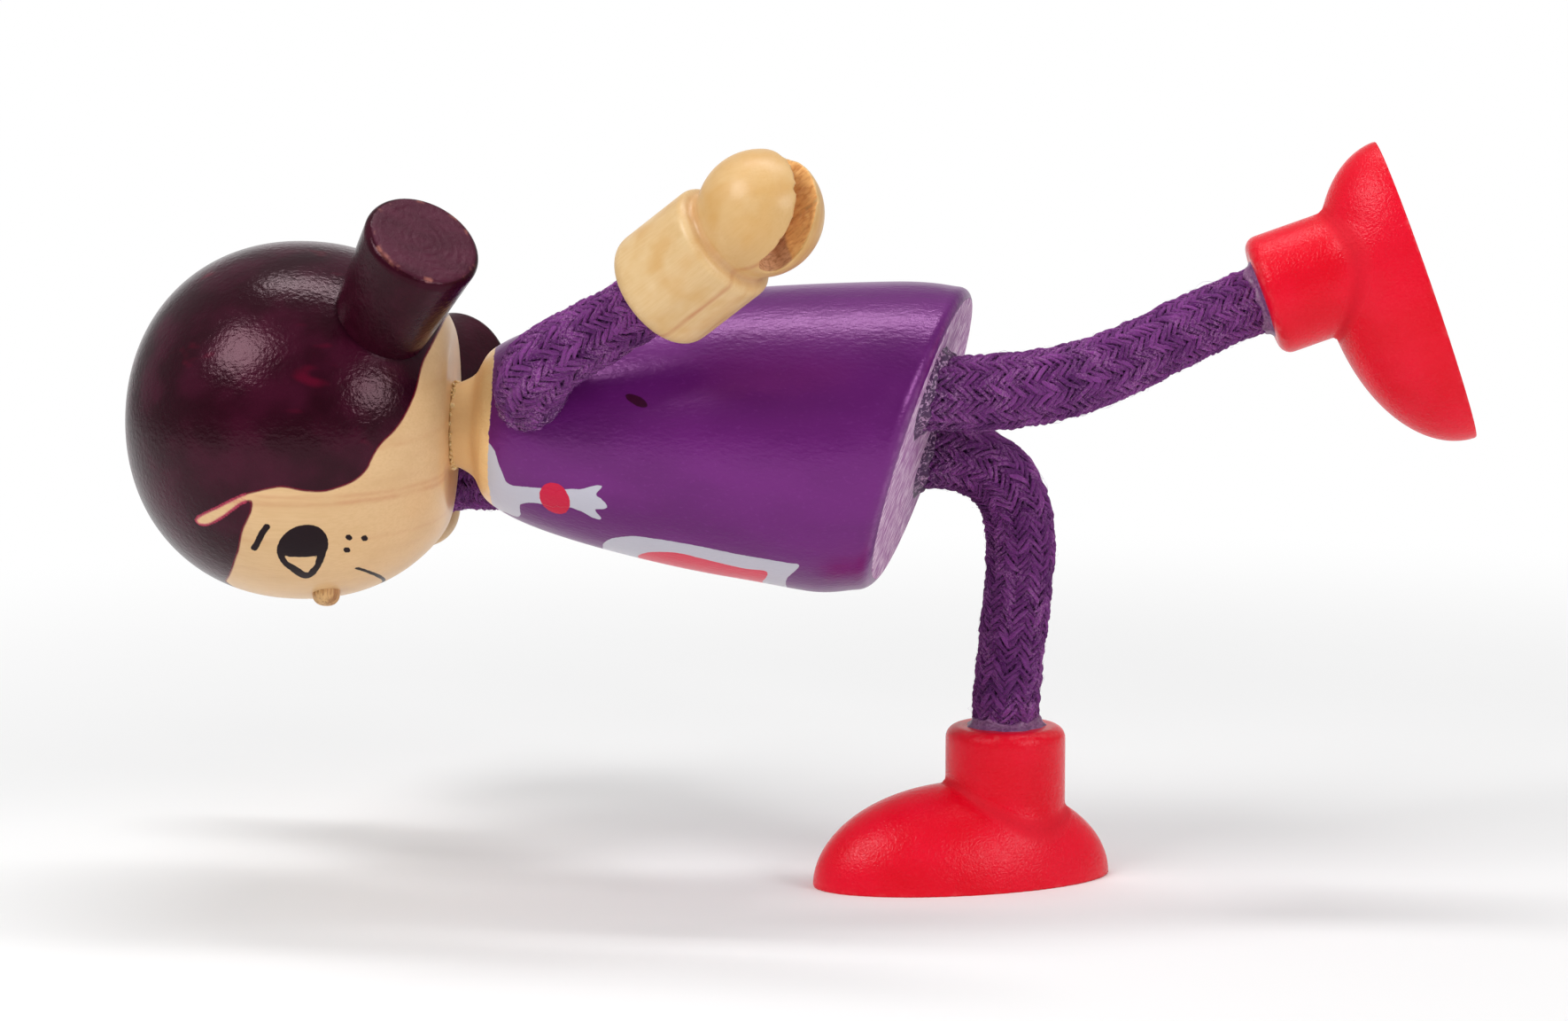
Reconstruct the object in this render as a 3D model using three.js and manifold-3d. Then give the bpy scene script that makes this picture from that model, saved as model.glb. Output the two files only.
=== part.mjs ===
// A bendy wooden doll that balances on one leg in an arabesque, 128 mm long and 73 mm high.
// Millimetres, +Z up. The origin is the middle of the standing shoe's sole. The doll's head
// points along -X and its left side looks along -Y.
import * as THREE from "three";
import { mergeVertices } from "three/addons/utils/BufferGeometryUtils.js";
import Module from "manifold-3d";

const wasm = await Module();
wasm.setup();

// Fits
const FIT_GAP = 0.3; // between pieces that are glued or seated on each other
const PEG_GAP = 0.12; // round a peg in its drilled hole
const RUN_ON = 2; // how far a cutting tool runs past a surface

// Head: a turned ball, a little fuller than a sphere, with a flat underside
const HEAD_RADIUS = 17;
const HEAD_CROWN = 16.7; // centre to crown
const HEAD_FULLNESS = 2.13; // exponent of the outline: 2 is an ellipse
const HEAD_FLAT_DROP = 14.3; // centre to the flat underside
const HEAD_TURN = -7; // degrees that the face is turned against the body

// Nose: a round-ended peg
const NOSE_RADIUS = 1.3;
const NOSE_OUT = 1.2; // past the face
const NOSE_DEPTH = 6; // into the head
const NOSE_DROP = 3.2; // below the middle of the head
const NOSE_ROUNDING = 1;

// Pigtails: two tapered turnings low on the back of the head
const PIGTAIL_LENGTH = 10.6;
const PIGTAIL_BASE_RADIUS = 4.5;
const PIGTAIL_END_RADIUS = 5.55;
const PIGTAIL_ROUNDING = 0.8;
const PIGTAIL_SIDE = 13; // middle of the base, from the centre of the head
const PIGTAIL_BACK = 6.8;
const PIGTAIL_DROP = 8.6;
const PIGTAIL_AIM = new THREE.Vector3(0.79, 0.465, -0.4).normalize();
const PIGTAIL_DOWEL_RADIUS = 1.5;
const PIGTAIL_DOWEL_DEPTH = 6; // into the head, and as far into the pigtail

// Body and neck: one turning with an oblique hem, longer at the back
const HEM_RADIUS = 14.8;
const HEM_FLARE = 6.5; // height at which the body is widest
const HEM_DRAFT = 0.3; // by which the hem itself is narrower
const HEM_ROUNDING = 1.5;
const HEM_SLANT = 18; // degrees
const HEM_SLANT_FADE = 18; // height over which the slant dies out
const WAIST_RADIUS = 13.6;
const WAIST_RISE = 11.9; // each rise is counted from the width before it
const CHEST_RADIUS = 11.7;
const CHEST_RISE = 10.2;
const SHOULDER_RADIUS = 9.5;
const SHOULDER_RISE = 8;
const NECK_BASE_RADIUS = 7.3;
const NECK_BASE_RISE = 4.4;
const NECK_FLARE_RADIUS = 4.9;
const NECK_FLARE_RISE = 1.6;
const NECK_RADIUS = 3.9;
const NECK_RISE = 1.8;
const WAIST_HEIGHT = HEM_FLARE + WAIST_RISE;
const CHEST_HEIGHT = WAIST_HEIGHT + CHEST_RISE;
const SHOULDER_HEIGHT = CHEST_HEIGHT + SHOULDER_RISE; // also of the cross bore for the arms
const NECK_BASE_HEIGHT = SHOULDER_HEIGHT + NECK_BASE_RISE;
const NECK_FLARE_HEIGHT = NECK_BASE_HEIGHT + NECK_FLARE_RISE;
const NECK_HEIGHT = NECK_FLARE_HEIGHT + NECK_RISE;
const NECK_DOWEL_RADIUS = 2;
const NECK_DOWEL_DEPTH = 8; // into the head
const NECK_DOWEL_WALL = 0.8; // of wood between the dowel's hole and the cross bore

// Rope limbs with a soft wire inside
const ROPE_RADIUS = 3.3;
const ROPE_BORE_RADIUS = 1.1;
const WIRE_RADIUS = 0.8;
const WIRE_SHORT = 1; // how far the wire ends before the rope does
const LEG_SPACING = 15.2; // between the two leg sockets
const LEG_BACK = 1.6; // sockets behind the body's axis
const LEG_SOCKET_DEPTH = 9;
const ARM_FORWARD = 0.6; // cross bore in front of the body's axis
const LEG_HIP_END = 9; // where each stretch of rope ends, along the rope from the socket's mouth
const LEG_THIGH_END = 14.5;
const LEG_KNEE_END = 24;
const ARM_SHOULDER_END = 7.5;
const ARM_ELBOW_END = 12.5;

// Hands: a sleeve with a ball on it, slotted to hold things
const HAND_SLEEVE_RADIUS = 5.75;
const HAND_SLEEVE_LENGTH = 9.9;
const HAND_SLEEVE_ROUNDING = 1.8; // at the rope's end
const HAND_SLEEVE_EDGE = 0.8; // rounding at the groove's end
const HAND_GROOVE_RADIUS = 4.7;
const HAND_GROOVE_LENGTH = 0.9;
const HAND_BALL_RADIUS = 5.8;
const HAND_BALL_CENTRE = 14.1; // from the sleeve's mouth
const HAND_SLOT_WIDTH = 2.6;
const HAND_SLOT_FLOOR = 1.5; // below the middle of the ball
const HAND_SOCKET_DEPTH = 7;

// Shoes: a half egg with a sleeve for the rope
const SHOE_LENGTH = 29.9;
const SHOE_WIDTH = 15.8;
const SHOE_HEIGHT = 9.5;
const SHOE_SLEEVE_RADIUS = 5.8;
const SHOE_SLEEVE_FOOT = 3.2; // above the sole, inside the half egg
const SHOE_SLEEVE_TOP = 14.9;
const SHOE_SLEEVE_ROUNDING = 1.2;
const SHOE_SLEEVE_SETBACK = 4.45; // behind the middle of the sole
const SHOE_SOCKET_DEPTH = 8;

// Pose of the body
const HEM_CENTRE = new THREE.Vector3(-4, -5.2, 43.6);
const BODY_YAW = -1.9; // degrees, feet end towards -Y
const BODY_PITCH = 1.5; // degrees, head end up
const BODY_ROLL = 29; // degrees that the front is turned towards -Y from straight down

// Pose of the limbs: where each sleeve's mouth is, and where its socket points
const LEFT_HAND_AT = new THREE.Vector3(-29.3, -21.5, 58.6);
const LEFT_HAND_AIM = new THREE.Vector3(0.707, -0.401, 0.582).normalize();
const LEFT_HAND_ACROSS = new THREE.Vector3(-0.667, -0.651, 0.362); // across the slot
const RIGHT_HAND_AT = new THREE.Vector3(-52.6, 20.8, 35.7);
const RIGHT_HAND_AIM = new THREE.Vector3(-0.78, 0.5, -0.38).normalize();
const RIGHT_HAND_ACROSS = new THREE.Vector3(-0.3, 0.2, 0.93);
const STANDING_YAW = 18; // degrees, toe towards -Y
const RAISED_SOLE_AT = new THREE.Vector3(43.7, -2.5, 57.5);
const RAISED_PITCH = 19.6; // degrees that the raised foot's leg points upward
const LEFT_LEG_CURVE = [17, 13]; // lengths of the curves' handles, leaving and arriving
const RIGHT_LEG_CURVE = [13.6, 13];
const LEFT_ARM_CURVE = [9.5, 7];
const RIGHT_ARM_CURVE = [6, 7];

// Facets
const ROUND = 32;
const HAND_SIDES = 24;
const SMALL_ROUND = 16;
const ROPE_SIDES = 10;
const ROPE_STEP = 1.8; // along the rope
const WIRE_SIDES = 8;

const DEG = Math.PI / 180;
const UP = new THREE.Vector3(0, 0, 1);

function paint(color, roughness, metalness = 0) {
  return new THREE.MeshStandardMaterial({ color, roughness, metalness });
}

const HAIR_PAINT = paint(0x3e1426, 0.4);
const BARE_WOOD = paint(0xd7b27d, 0.55);
const DOWEL_WOOD = paint(0xe0c08a, 0.7);
const BODY_PAINT = paint(0x6e2882, 0.4);
const ROPE_COTTON = paint(0x69327d, 0.95);
const HAND_WOOD = paint(0xd7aa64, 0.45);
const SHOE_PAINT = paint(0xe11e28, 0.4);
const STEEL_WIRE = paint(0x9a9a9a, 0.35, 1);

// Closed solid of a geometry, ready to be cut or joined
function solidOf(geometry) {
  const plain = geometry.clone();
  plain.deleteAttribute("normal");
  plain.deleteAttribute("uv");
  const merged = mergeVertices(plain, 1e-4);
  return new wasm.Manifold(
    new wasm.Mesh({
      numProp: 3,
      vertProperties: new Float32Array(merged.attributes.position.array),
      triVerts: new Uint32Array(merged.index.array),
    }),
  );
}

function geometryOf(solid) {
  const mesh = solid.getMesh();
  const geometry = new THREE.BufferGeometry();
  geometry.setAttribute("position", new THREE.BufferAttribute(mesh.vertProperties, 3));
  geometry.setIndex(new THREE.BufferAttribute(mesh.triVerts, 1));
  geometry.computeVertexNormals();
  return geometry;
}

function node(name, solid, material) {
  const mesh = new THREE.Mesh(geometryOf(solid), material);
  mesh.name = name;
  return mesh;
}

// Solid turned about +Z from an outline of [radius, height] points, lowest first
function turned(outline, sides = ROUND) {
  const points = outline.map(([r, z]) => new THREE.Vector2(r, z));
  return new THREE.LatheGeometry(points, sides).rotateX(Math.PI / 2);
}

// Rod from one point to another
function rod(radius, from, to, sides = SMALL_ROUND) {
  const along = to.clone().sub(from);
  const turn = new THREE.Quaternion().setFromUnitVectors(UP, along.clone().normalize());
  const outline = [[0, 0], [radius, 0], [radius, along.length()], [0, along.length()]];
  return turned(outline, sides).applyQuaternion(turn).translate(from.x, from.y, from.z);
}

// Quarter-round corner of an outline, from angle a to angle b in degrees
function corner(r, z, rounding, a, b, steps = 4) {
  const points = [];
  for (let i = 0; i <= steps; i++) {
    const t = (a + ((b - a) * i) / steps) * DEG;
    points.push([r + rounding * Math.cos(t), z + rounding * Math.sin(t)]);
  }
  return points;
}

// Ball of the head, grown by a clearance
function headBall(grow) {
  const rise = HEAD_CROWN + grow;
  const flat = -HEAD_FLAT_DROP - grow;
  const wide = HEAD_RADIUS + grow;
  const rings = 14;
  const outline = [[0, flat]];
  const start = Math.asin((HEAD_FLAT_DROP / HEAD_CROWN) ** (HEAD_FULLNESS / 2));
  for (let i = 0; i <= rings; i++) {
    const t = -start + ((Math.PI / 2 + start) * i) / rings;
    const r = wide * Math.max(0, Math.cos(t)) ** (2 / HEAD_FULLNESS);
    const z = rise * Math.sign(t) * Math.abs(Math.sin(t)) ** (2 / HEAD_FULLNESS);
    outline.push([i === rings ? 0 : r, i === 0 ? flat : z]);
  }
  return solidOf(turned(outline));
}

// Point on the face at a height, and the way out of the face there
function facePoint(drop) {
  const r = HEAD_RADIUS * (1 - (drop / HEAD_CROWN) ** HEAD_FULLNESS) ** (1 / HEAD_FULLNESS);
  return new THREE.Vector3(0, -r, -drop);
}

function noseLine() {
  const tip = facePoint(NOSE_DROP);
  return { tip, out: new THREE.Vector3(0, -1, 0) };
}

function nosePeg() {
  const { tip, out } = noseLine();
  const length = NOSE_DEPTH + NOSE_OUT;
  const outline = [[0, 0], [NOSE_RADIUS, 0]];
  outline.push(...corner(NOSE_RADIUS - NOSE_ROUNDING, length - NOSE_ROUNDING, NOSE_ROUNDING, 0, 90, 3));
  outline.push([0, length]);
  const start = tip.clone().addScaledVector(out, -NOSE_DEPTH);
  const turn = new THREE.Quaternion().setFromUnitVectors(UP, out);
  return turned(outline, SMALL_ROUND).applyQuaternion(turn).translate(start.x, start.y, start.z);
}

// Base point and direction of a pigtail; side is 1 on the doll's left and -1 on its right
function pigtailLine(side) {
  const base = new THREE.Vector3(side * PIGTAIL_SIDE, PIGTAIL_BACK, -PIGTAIL_DROP);
  const aim = PIGTAIL_AIM.clone();
  aim.x *= side;
  return { base, aim };
}

function pigtail(side) {
  const { base, aim } = pigtailLine(side);
  const sink = PIGTAIL_BASE_RADIUS / 2;
  const length = PIGTAIL_LENGTH + sink;
  const inner = PIGTAIL_END_RADIUS - PIGTAIL_ROUNDING;
  const outline = [[0, 0], [PIGTAIL_BASE_RADIUS, 0]];
  outline.push(...corner(inner, length - PIGTAIL_ROUNDING, PIGTAIL_ROUNDING, 0, 90));
  outline.push([0, length]);
  const turn = new THREE.Quaternion().setFromUnitVectors(UP, aim);
  const start = base.clone().addScaledVector(aim, -sink);
  const blank = turned(outline).applyQuaternion(turn).translate(start.x, start.y, start.z);
  return solidOf(blank)
    .subtract(headBall(FIT_GAP))
    .subtract(pigtailDowel(side, PEG_GAP));
}

function pigtailDowel(side, grow) {
  const { base, aim } = pigtailLine(side);
  const half = PIGTAIL_DOWEL_DEPTH + grow;
  const from = base.clone().addScaledVector(aim, -half);
  const to = base.clone().addScaledVector(aim, half);
  return solidOf(rod(PIGTAIL_DOWEL_RADIUS + grow, from, to));
}

// Dowel between neck and head, in the frame of whichever piece's face is at height z
function neckDowel(z, grow) {
  const boreTop = SHOULDER_HEIGHT + ROPE_RADIUS + FIT_GAP;
  const sink = NECK_HEIGHT - boreTop - NECK_DOWEL_WALL - PEG_GAP + grow;
  const from = new THREE.Vector3(0, 0, z - sink);
  const to = new THREE.Vector3(0, 0, z + NECK_DOWEL_DEPTH + grow);
  return solidOf(rod(NECK_DOWEL_RADIUS + grow, from, to));
}

function head() {
  const { tip, out } = noseLine();
  const noseEnd = tip.clone().addScaledVector(out, -NOSE_DEPTH - PEG_GAP);
  const noseMouth = tip.clone().addScaledVector(out, RUN_ON);
  return headBall(0)
    .subtract(solidOf(rod(NOSE_RADIUS + PEG_GAP, noseEnd, noseMouth)))
    .subtract(pigtailDowel(1, PEG_GAP))
    .subtract(pigtailDowel(-1, PEG_GAP))
    .subtract(neckDowel(-HEAD_FLAT_DROP, PEG_GAP));
}

// Smooth outline of body and neck through its named widths
function bodyOutline() {
  const named = [
    [HEM_RADIUS, HEM_FLARE],
    [WAIST_RADIUS, WAIST_HEIGHT],
    [CHEST_RADIUS, CHEST_HEIGHT],
    [SHOULDER_RADIUS, SHOULDER_HEIGHT],
    [NECK_BASE_RADIUS, NECK_BASE_HEIGHT],
    [NECK_FLARE_RADIUS, NECK_FLARE_HEIGHT],
    [NECK_RADIUS, NECK_HEIGHT],
  ];
  const curve = new THREE.SplineCurve(named.map(([r, z]) => new THREE.Vector2(r, z)));
  const side = curve.getPoints(14).map((p) => [p.x, p.y]);
  const inner = HEM_RADIUS - HEM_DRAFT - HEM_ROUNDING;
  const bottom = corner(inner, HEM_ROUNDING, HEM_ROUNDING, -90, 0);
  return [[0, 0], ...bottom, ...side, [0, NECK_HEIGHT]];
}

// Height of the slanted hem below the level one, at a distance behind the axis
function hemDrop(back, height) {
  const keep = 1 - THREE.MathUtils.smoothstep(height, HEM_ROUNDING, HEM_SLANT_FADE);
  return back * Math.tan(HEM_SLANT * DEG) * keep;
}

// Mouth of a leg socket in the body's frame
function legMouth(side) {
  const x = (side * LEG_SPACING) / 2;
  return new THREE.Vector3(x, LEG_BACK, -hemDrop(LEG_BACK, 0));
}

function body() {
  const blank = turned(bodyOutline());
  const place = blank.getAttribute("position");
  for (let i = 0; i < place.count; i++) {
    place.setZ(i, place.getZ(i) - hemDrop(place.getY(i), place.getZ(i)));
  }
  let made = solidOf(blank);
  for (const side of [1, -1]) {
    const mouth = legMouth(side);
    const low = mouth.clone().addScaledVector(UP, -ROPE_RADIUS - RUN_ON);
    const high = mouth.clone().addScaledVector(UP, LEG_SOCKET_DEPTH);
    made = made.subtract(solidOf(rod(ROPE_RADIUS + FIT_GAP, low, high, ROPE_SIDES * 2)));
  }
  const reach = HEM_RADIUS + RUN_ON;
  const left = new THREE.Vector3(reach, -ARM_FORWARD, SHOULDER_HEIGHT);
  const right = new THREE.Vector3(-reach, -ARM_FORWARD, SHOULDER_HEIGHT);
  return made
    .subtract(solidOf(rod(ROPE_RADIUS + FIT_GAP, right, left, ROPE_SIDES * 2)))
    .subtract(neckDowel(NECK_HEIGHT, PEG_GAP));
}

// Hand in its own frame: mouth of the sleeve at the origin, ball along +Z
function hand() {
  const round = HAND_SLEEVE_ROUNDING;
  const wide = HAND_SLEEVE_RADIUS;
  const outline = [[0, 0], ...corner(wide - round, round, round, -90, 0)];
  const edge = HAND_SLEEVE_EDGE;
  outline.push(...corner(wide - edge, HAND_SLEEVE_LENGTH - edge, edge, 0, 90, 2));
  outline.push([HAND_GROOVE_RADIUS, HAND_SLEEVE_LENGTH]);
  outline.push([HAND_GROOVE_RADIUS, HAND_SLEEVE_LENGTH + HAND_GROOVE_LENGTH]);
  outline.push([0, HAND_SLEEVE_LENGTH + HAND_GROOVE_LENGTH]);
  const ball = new THREE.SphereGeometry(HAND_BALL_RADIUS, HAND_SIDES, HAND_SIDES / 2).rotateX(Math.PI / 2);
  ball.translate(0, 0, HAND_BALL_CENTRE);
  const end = new THREE.Vector3(0, 0, HAND_SOCKET_DEPTH);
  const mouth = new THREE.Vector3(0, 0, -RUN_ON);
  return solidOf(turned(outline, HAND_SIDES))
    .add(solidOf(ball))
    .subtract(handSlot())
    .subtract(solidOf(rod(ROPE_RADIUS + FIT_GAP, mouth, end, ROPE_SIDES * 2)));
}

// Round-bottomed slot across the ball, running along X
function handSlot() {
  const half = HAND_SLOT_WIDTH / 2;
  const floor = HAND_BALL_CENTRE - HAND_SLOT_FLOOR;
  const top = HAND_BALL_CENTRE + HAND_BALL_RADIUS + RUN_ON;
  const reach = HAND_BALL_RADIUS + RUN_ON;
  const shape = new THREE.Shape();
  shape.moveTo(half, top);
  shape.lineTo(-half, top);
  shape.lineTo(-half, floor + half);
  shape.absarc(0, floor + half, half, Math.PI, 2 * Math.PI, false);
  shape.lineTo(half, top);
  const settings = { depth: 2 * reach, bevelEnabled: false, curveSegments: SMALL_ROUND / 2 };
  const bar = new THREE.ExtrudeGeometry(shape, settings);
  bar.translate(0, 0, -reach).rotateX(Math.PI / 2).rotateZ(Math.PI / 2);
  return solidOf(bar);
}

// Shoe in its own frame: sole on z = 0, toe along -X
function shoe() {
  const rings = 8;
  const outline = [[0, 0]];
  for (let i = 0; i <= rings; i++) {
    const t = ((Math.PI / 2) * i) / rings;
    outline.push([i === rings ? 0 : Math.cos(t), Math.sin(t)]);
  }
  const dome = turned(outline).scale(SHOE_LENGTH / 2, SHOE_WIDTH / 2, SHOE_HEIGHT);
  const round = SHOE_SLEEVE_ROUNDING;
  const sleeve = [[0, SHOE_SLEEVE_FOOT], [SHOE_SLEEVE_RADIUS, SHOE_SLEEVE_FOOT]];
  sleeve.push(...corner(SHOE_SLEEVE_RADIUS - round, SHOE_SLEEVE_TOP - round, round, 0, 90));
  sleeve.push([0, SHOE_SLEEVE_TOP]);
  const mouth = new THREE.Vector3(SHOE_SLEEVE_SETBACK, 0, SHOE_SLEEVE_TOP + RUN_ON);
  const end = new THREE.Vector3(SHOE_SLEEVE_SETBACK, 0, SHOE_SLEEVE_TOP - SHOE_SOCKET_DEPTH);
  return solidOf(dome)
    .add(solidOf(turned(sleeve).translate(SHOE_SLEEVE_SETBACK, 0, 0)))
    .subtract(solidOf(rod(ROPE_RADIUS + FIT_GAP, end, mouth, ROPE_SIDES * 2)));
}

// Route of a rope: straight out of its socket, a curve, and straight into the sleeve.
// Places along it are counted from the socket's mouth.
class Route {
  constructor(mouth, leave, before, sleeve, arrive, after, reach) {
    const start = mouth.clone().addScaledVector(leave, -before);
    const end = sleeve.clone().addScaledVector(arrive, after);
    const bend = new THREE.CubicBezierCurve3(
      mouth,
      mouth.clone().addScaledVector(leave, reach[0]),
      sleeve.clone().addScaledVector(arrive, -reach[1]),
      sleeve,
    );
    this.path = new THREE.CurvePath();
    this.path.add(new THREE.LineCurve3(start, mouth));
    this.path.add(bend);
    this.path.add(new THREE.LineCurve3(sleeve, end));
    this.first = -before;
    this.bare = bend.getLength();
    this.last = this.bare + after;
  }

  at(place) {
    const share = (place - this.first) / (this.last - this.first);
    return this.path.getPoint(THREE.MathUtils.clamp(share, 0, 1));
  }
}

// Two routes that start at one point, joined: places are negative on the first
class Crossing {
  constructor(a, b) {
    this.a = a;
    this.b = b;
    this.first = a.first - a.last;
    this.last = b.last - b.first;
  }

  at(place) {
    return place < 0 ? this.a.at(this.a.first - place) : this.b.at(this.b.first + place);
  }
}

// Stretch of a route as a curve of its own
class Stretch extends THREE.Curve {
  constructor(route, from, to) {
    super();
    this.route = route;
    this.from = from;
    this.to = to;
  }

  getPoint(t, target = new THREE.Vector3()) {
    return target.copy(this.route.at(THREE.MathUtils.lerp(this.from, this.to, t)));
  }
}

// Tube along a stretch of a route, with a bore if its radius is given
function tube(route, from, to, radius, bore, sides) {
  const shape = new THREE.Shape();
  shape.absarc(0, 0, radius, 0, 2 * Math.PI, false);
  if (bore > 0) {
    const hole = new THREE.Path();
    hole.absarc(0, 0, bore, 0, 2 * Math.PI, true);
    shape.holes.push(hole);
  }
  const steps = Math.max(2, Math.round((to - from) / ROPE_STEP));
  const extrudePath = new Stretch(route, from, to);
  const settings = { steps, extrudePath, bevelEnabled: false, curveSegments: sides / 2 };
  return solidOf(new THREE.ExtrudeGeometry(shape, settings));
}

// Braided rope along part of a route, with its bore for the wire
function rope(name, route, from, to) {
  const made = tube(route, from, to, ROPE_RADIUS, ROPE_BORE_RADIUS, ROPE_SIDES);
  return node(name, made, ROPE_COTTON);
}

// Wire along a whole route
function wire(name, route) {
  const from = route.first + WIRE_SHORT;
  const to = route.last - WIRE_SHORT;
  return node(name, tube(route, from, to, WIRE_RADIUS, 0, WIRE_SIDES), STEEL_WIRE);
}

// Group that stands a piece at a point with its +Z along an aim and its +Y near a second one
function aimed(at, aim, across) {
  const x = across.clone().cross(aim).normalize();
  const y = aim.clone().cross(x);
  const group = new THREE.Group();
  group.position.copy(at);
  group.quaternion.setFromRotationMatrix(new THREE.Matrix4().makeBasis(x, y, aim));
  return group;
}

const doll = new THREE.Group();

// Body and head, upright in their own frame: +X is the doll's left, -Y its front
const heading = new THREE.Group();
heading.position.copy(HEM_CENTRE);
heading.rotation.z = BODY_YAW * DEG;
const tipped = new THREE.Group();
tipped.rotation.y = (BODY_PITCH - 90) * DEG;
const figure = new THREE.Group();
figure.rotation.z = (BODY_ROLL - 90) * DEG;
doll.add(heading);
heading.add(tipped);
tipped.add(figure);
figure.add(node("torso", body(), BODY_PAINT));
figure.add(node("neck_dowel", neckDowel(NECK_HEIGHT, 0), DOWEL_WOOD));

const headGroup = new THREE.Group();
headGroup.position.z = NECK_HEIGHT + FIT_GAP + HEAD_FLAT_DROP;
headGroup.rotation.z = HEAD_TURN * DEG;
figure.add(headGroup);
headGroup.add(node("head", head(), BARE_WOOD));
headGroup.add(node("nose_peg", solidOf(nosePeg()), BARE_WOOD));
for (const [name, side] of [["left", 1], ["right", -1]]) {
  headGroup.add(node(`${name}_pigtail`, pigtail(side), HAIR_PAINT));
  headGroup.add(node(`${name}_pigtail_dowel`, pigtailDowel(side, 0), DOWEL_WOOD));
}

// Hands
const leftHand = aimed(LEFT_HAND_AT, LEFT_HAND_AIM, LEFT_HAND_ACROSS);
leftHand.add(node("left_hand", hand(), HAND_WOOD));
doll.add(leftHand);
const rightHand = aimed(RIGHT_HAND_AT, RIGHT_HAND_AIM, RIGHT_HAND_ACROSS);
rightHand.add(node("right_hand", hand(), HAND_WOOD));
doll.add(rightHand);

// Shoes: the doll stands on the right one
const rightShoe = new THREE.Group();
rightShoe.rotation.z = STANDING_YAW * DEG;
rightShoe.add(node("right_shoe", shoe(), SHOE_PAINT));
doll.add(rightShoe);
const leftShoe = new THREE.Group();
leftShoe.position.copy(RAISED_SOLE_AT);
leftShoe.rotation.y = -(90 + RAISED_PITCH) * DEG;
leftShoe.add(node("left_shoe", shoe(), SHOE_PAINT));
doll.add(leftShoe);

doll.updateMatrixWorld(true);

// Mouth of a shoe's sleeve and the way into it
function shoeMouth(group) {
  const mouth = new THREE.Vector3(SHOE_SLEEVE_SETBACK, 0, SHOE_SLEEVE_TOP);
  const into = new THREE.Vector3(0, 0, -1).transformDirection(group.matrixWorld);
  return { mouth: group.localToWorld(mouth), into };
}

function legRoute(side, shoeGroup, reach) {
  const mouth = figure.localToWorld(legMouth(side));
  const down = new THREE.Vector3(0, 0, -1).transformDirection(figure.matrixWorld);
  const end = shoeMouth(shoeGroup);
  const before = LEG_SOCKET_DEPTH - FIT_GAP;
  const after = SHOE_SOCKET_DEPTH - FIT_GAP;
  return new Route(mouth, down, before, end.mouth, end.into, after, reach);
}

function armRoute(side, at, aim, reach) {
  const mouth = figure.localToWorld(
    new THREE.Vector3(side * SHOULDER_RADIUS, -ARM_FORWARD, SHOULDER_HEIGHT),
  );
  const out = new THREE.Vector3(side, 0, 0).transformDirection(figure.matrixWorld);
  const before = SHOULDER_RADIUS;
  const after = HAND_SOCKET_DEPTH - FIT_GAP;
  return new Route(mouth, out, before, at, aim, after, reach);
}

const leftLeg = legRoute(1, leftShoe, LEFT_LEG_CURVE);
const rightLeg = legRoute(-1, rightShoe, RIGHT_LEG_CURVE);
for (const [name, route] of [["left", leftLeg], ["right", rightLeg]]) {
  const stretches = [
    ["hip", route.first, LEG_HIP_END],
    ["thigh", LEG_HIP_END + FIT_GAP, LEG_THIGH_END],
    ["knee", LEG_THIGH_END + FIT_GAP, LEG_KNEE_END],
    ["shin", LEG_KNEE_END + FIT_GAP, route.last],
  ];
  for (const [part, from, to] of stretches) {
    doll.add(rope(`${name}_leg_rope_${part}`, route, from, to));
  }
  doll.add(wire(`${name}_leg_wire`, route));
}

const leftArm = armRoute(1, LEFT_HAND_AT, LEFT_HAND_AIM, LEFT_ARM_CURVE);
const rightArm = armRoute(-1, RIGHT_HAND_AT, RIGHT_HAND_AIM, RIGHT_ARM_CURVE);
for (const [name, route] of [["left", leftArm], ["right", rightArm]]) {
  const stretches = [
    ["shoulder", FIT_GAP, ARM_SHOULDER_END],
    ["elbow", ARM_SHOULDER_END + FIT_GAP, ARM_ELBOW_END],
    ["wrist", ARM_ELBOW_END + FIT_GAP, route.last],
  ];
  for (const [part, from, to] of stretches) {
    doll.add(rope(`${name}_arm_rope_${part}`, route, from, to));
  }
}
const arms = new Crossing(rightArm, leftArm);
doll.add(rope("arm_rope_middle", arms, rightArm.first, -leftArm.first));
doll.add(wire("arm_wire", arms));

export default doll;
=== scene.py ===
# Looks of a bendy wooden doll that balances on one leg in an arabesque: turned and painted
# wood, and limbs of braided cotton cord. Lengths are in millimetres unless a comment says
# otherwise. Each wooden piece is made in its own frame and then stood in its place.
import math

import bmesh
import bpy
import numpy as np
from mathutils import Matrix, Vector


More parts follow.
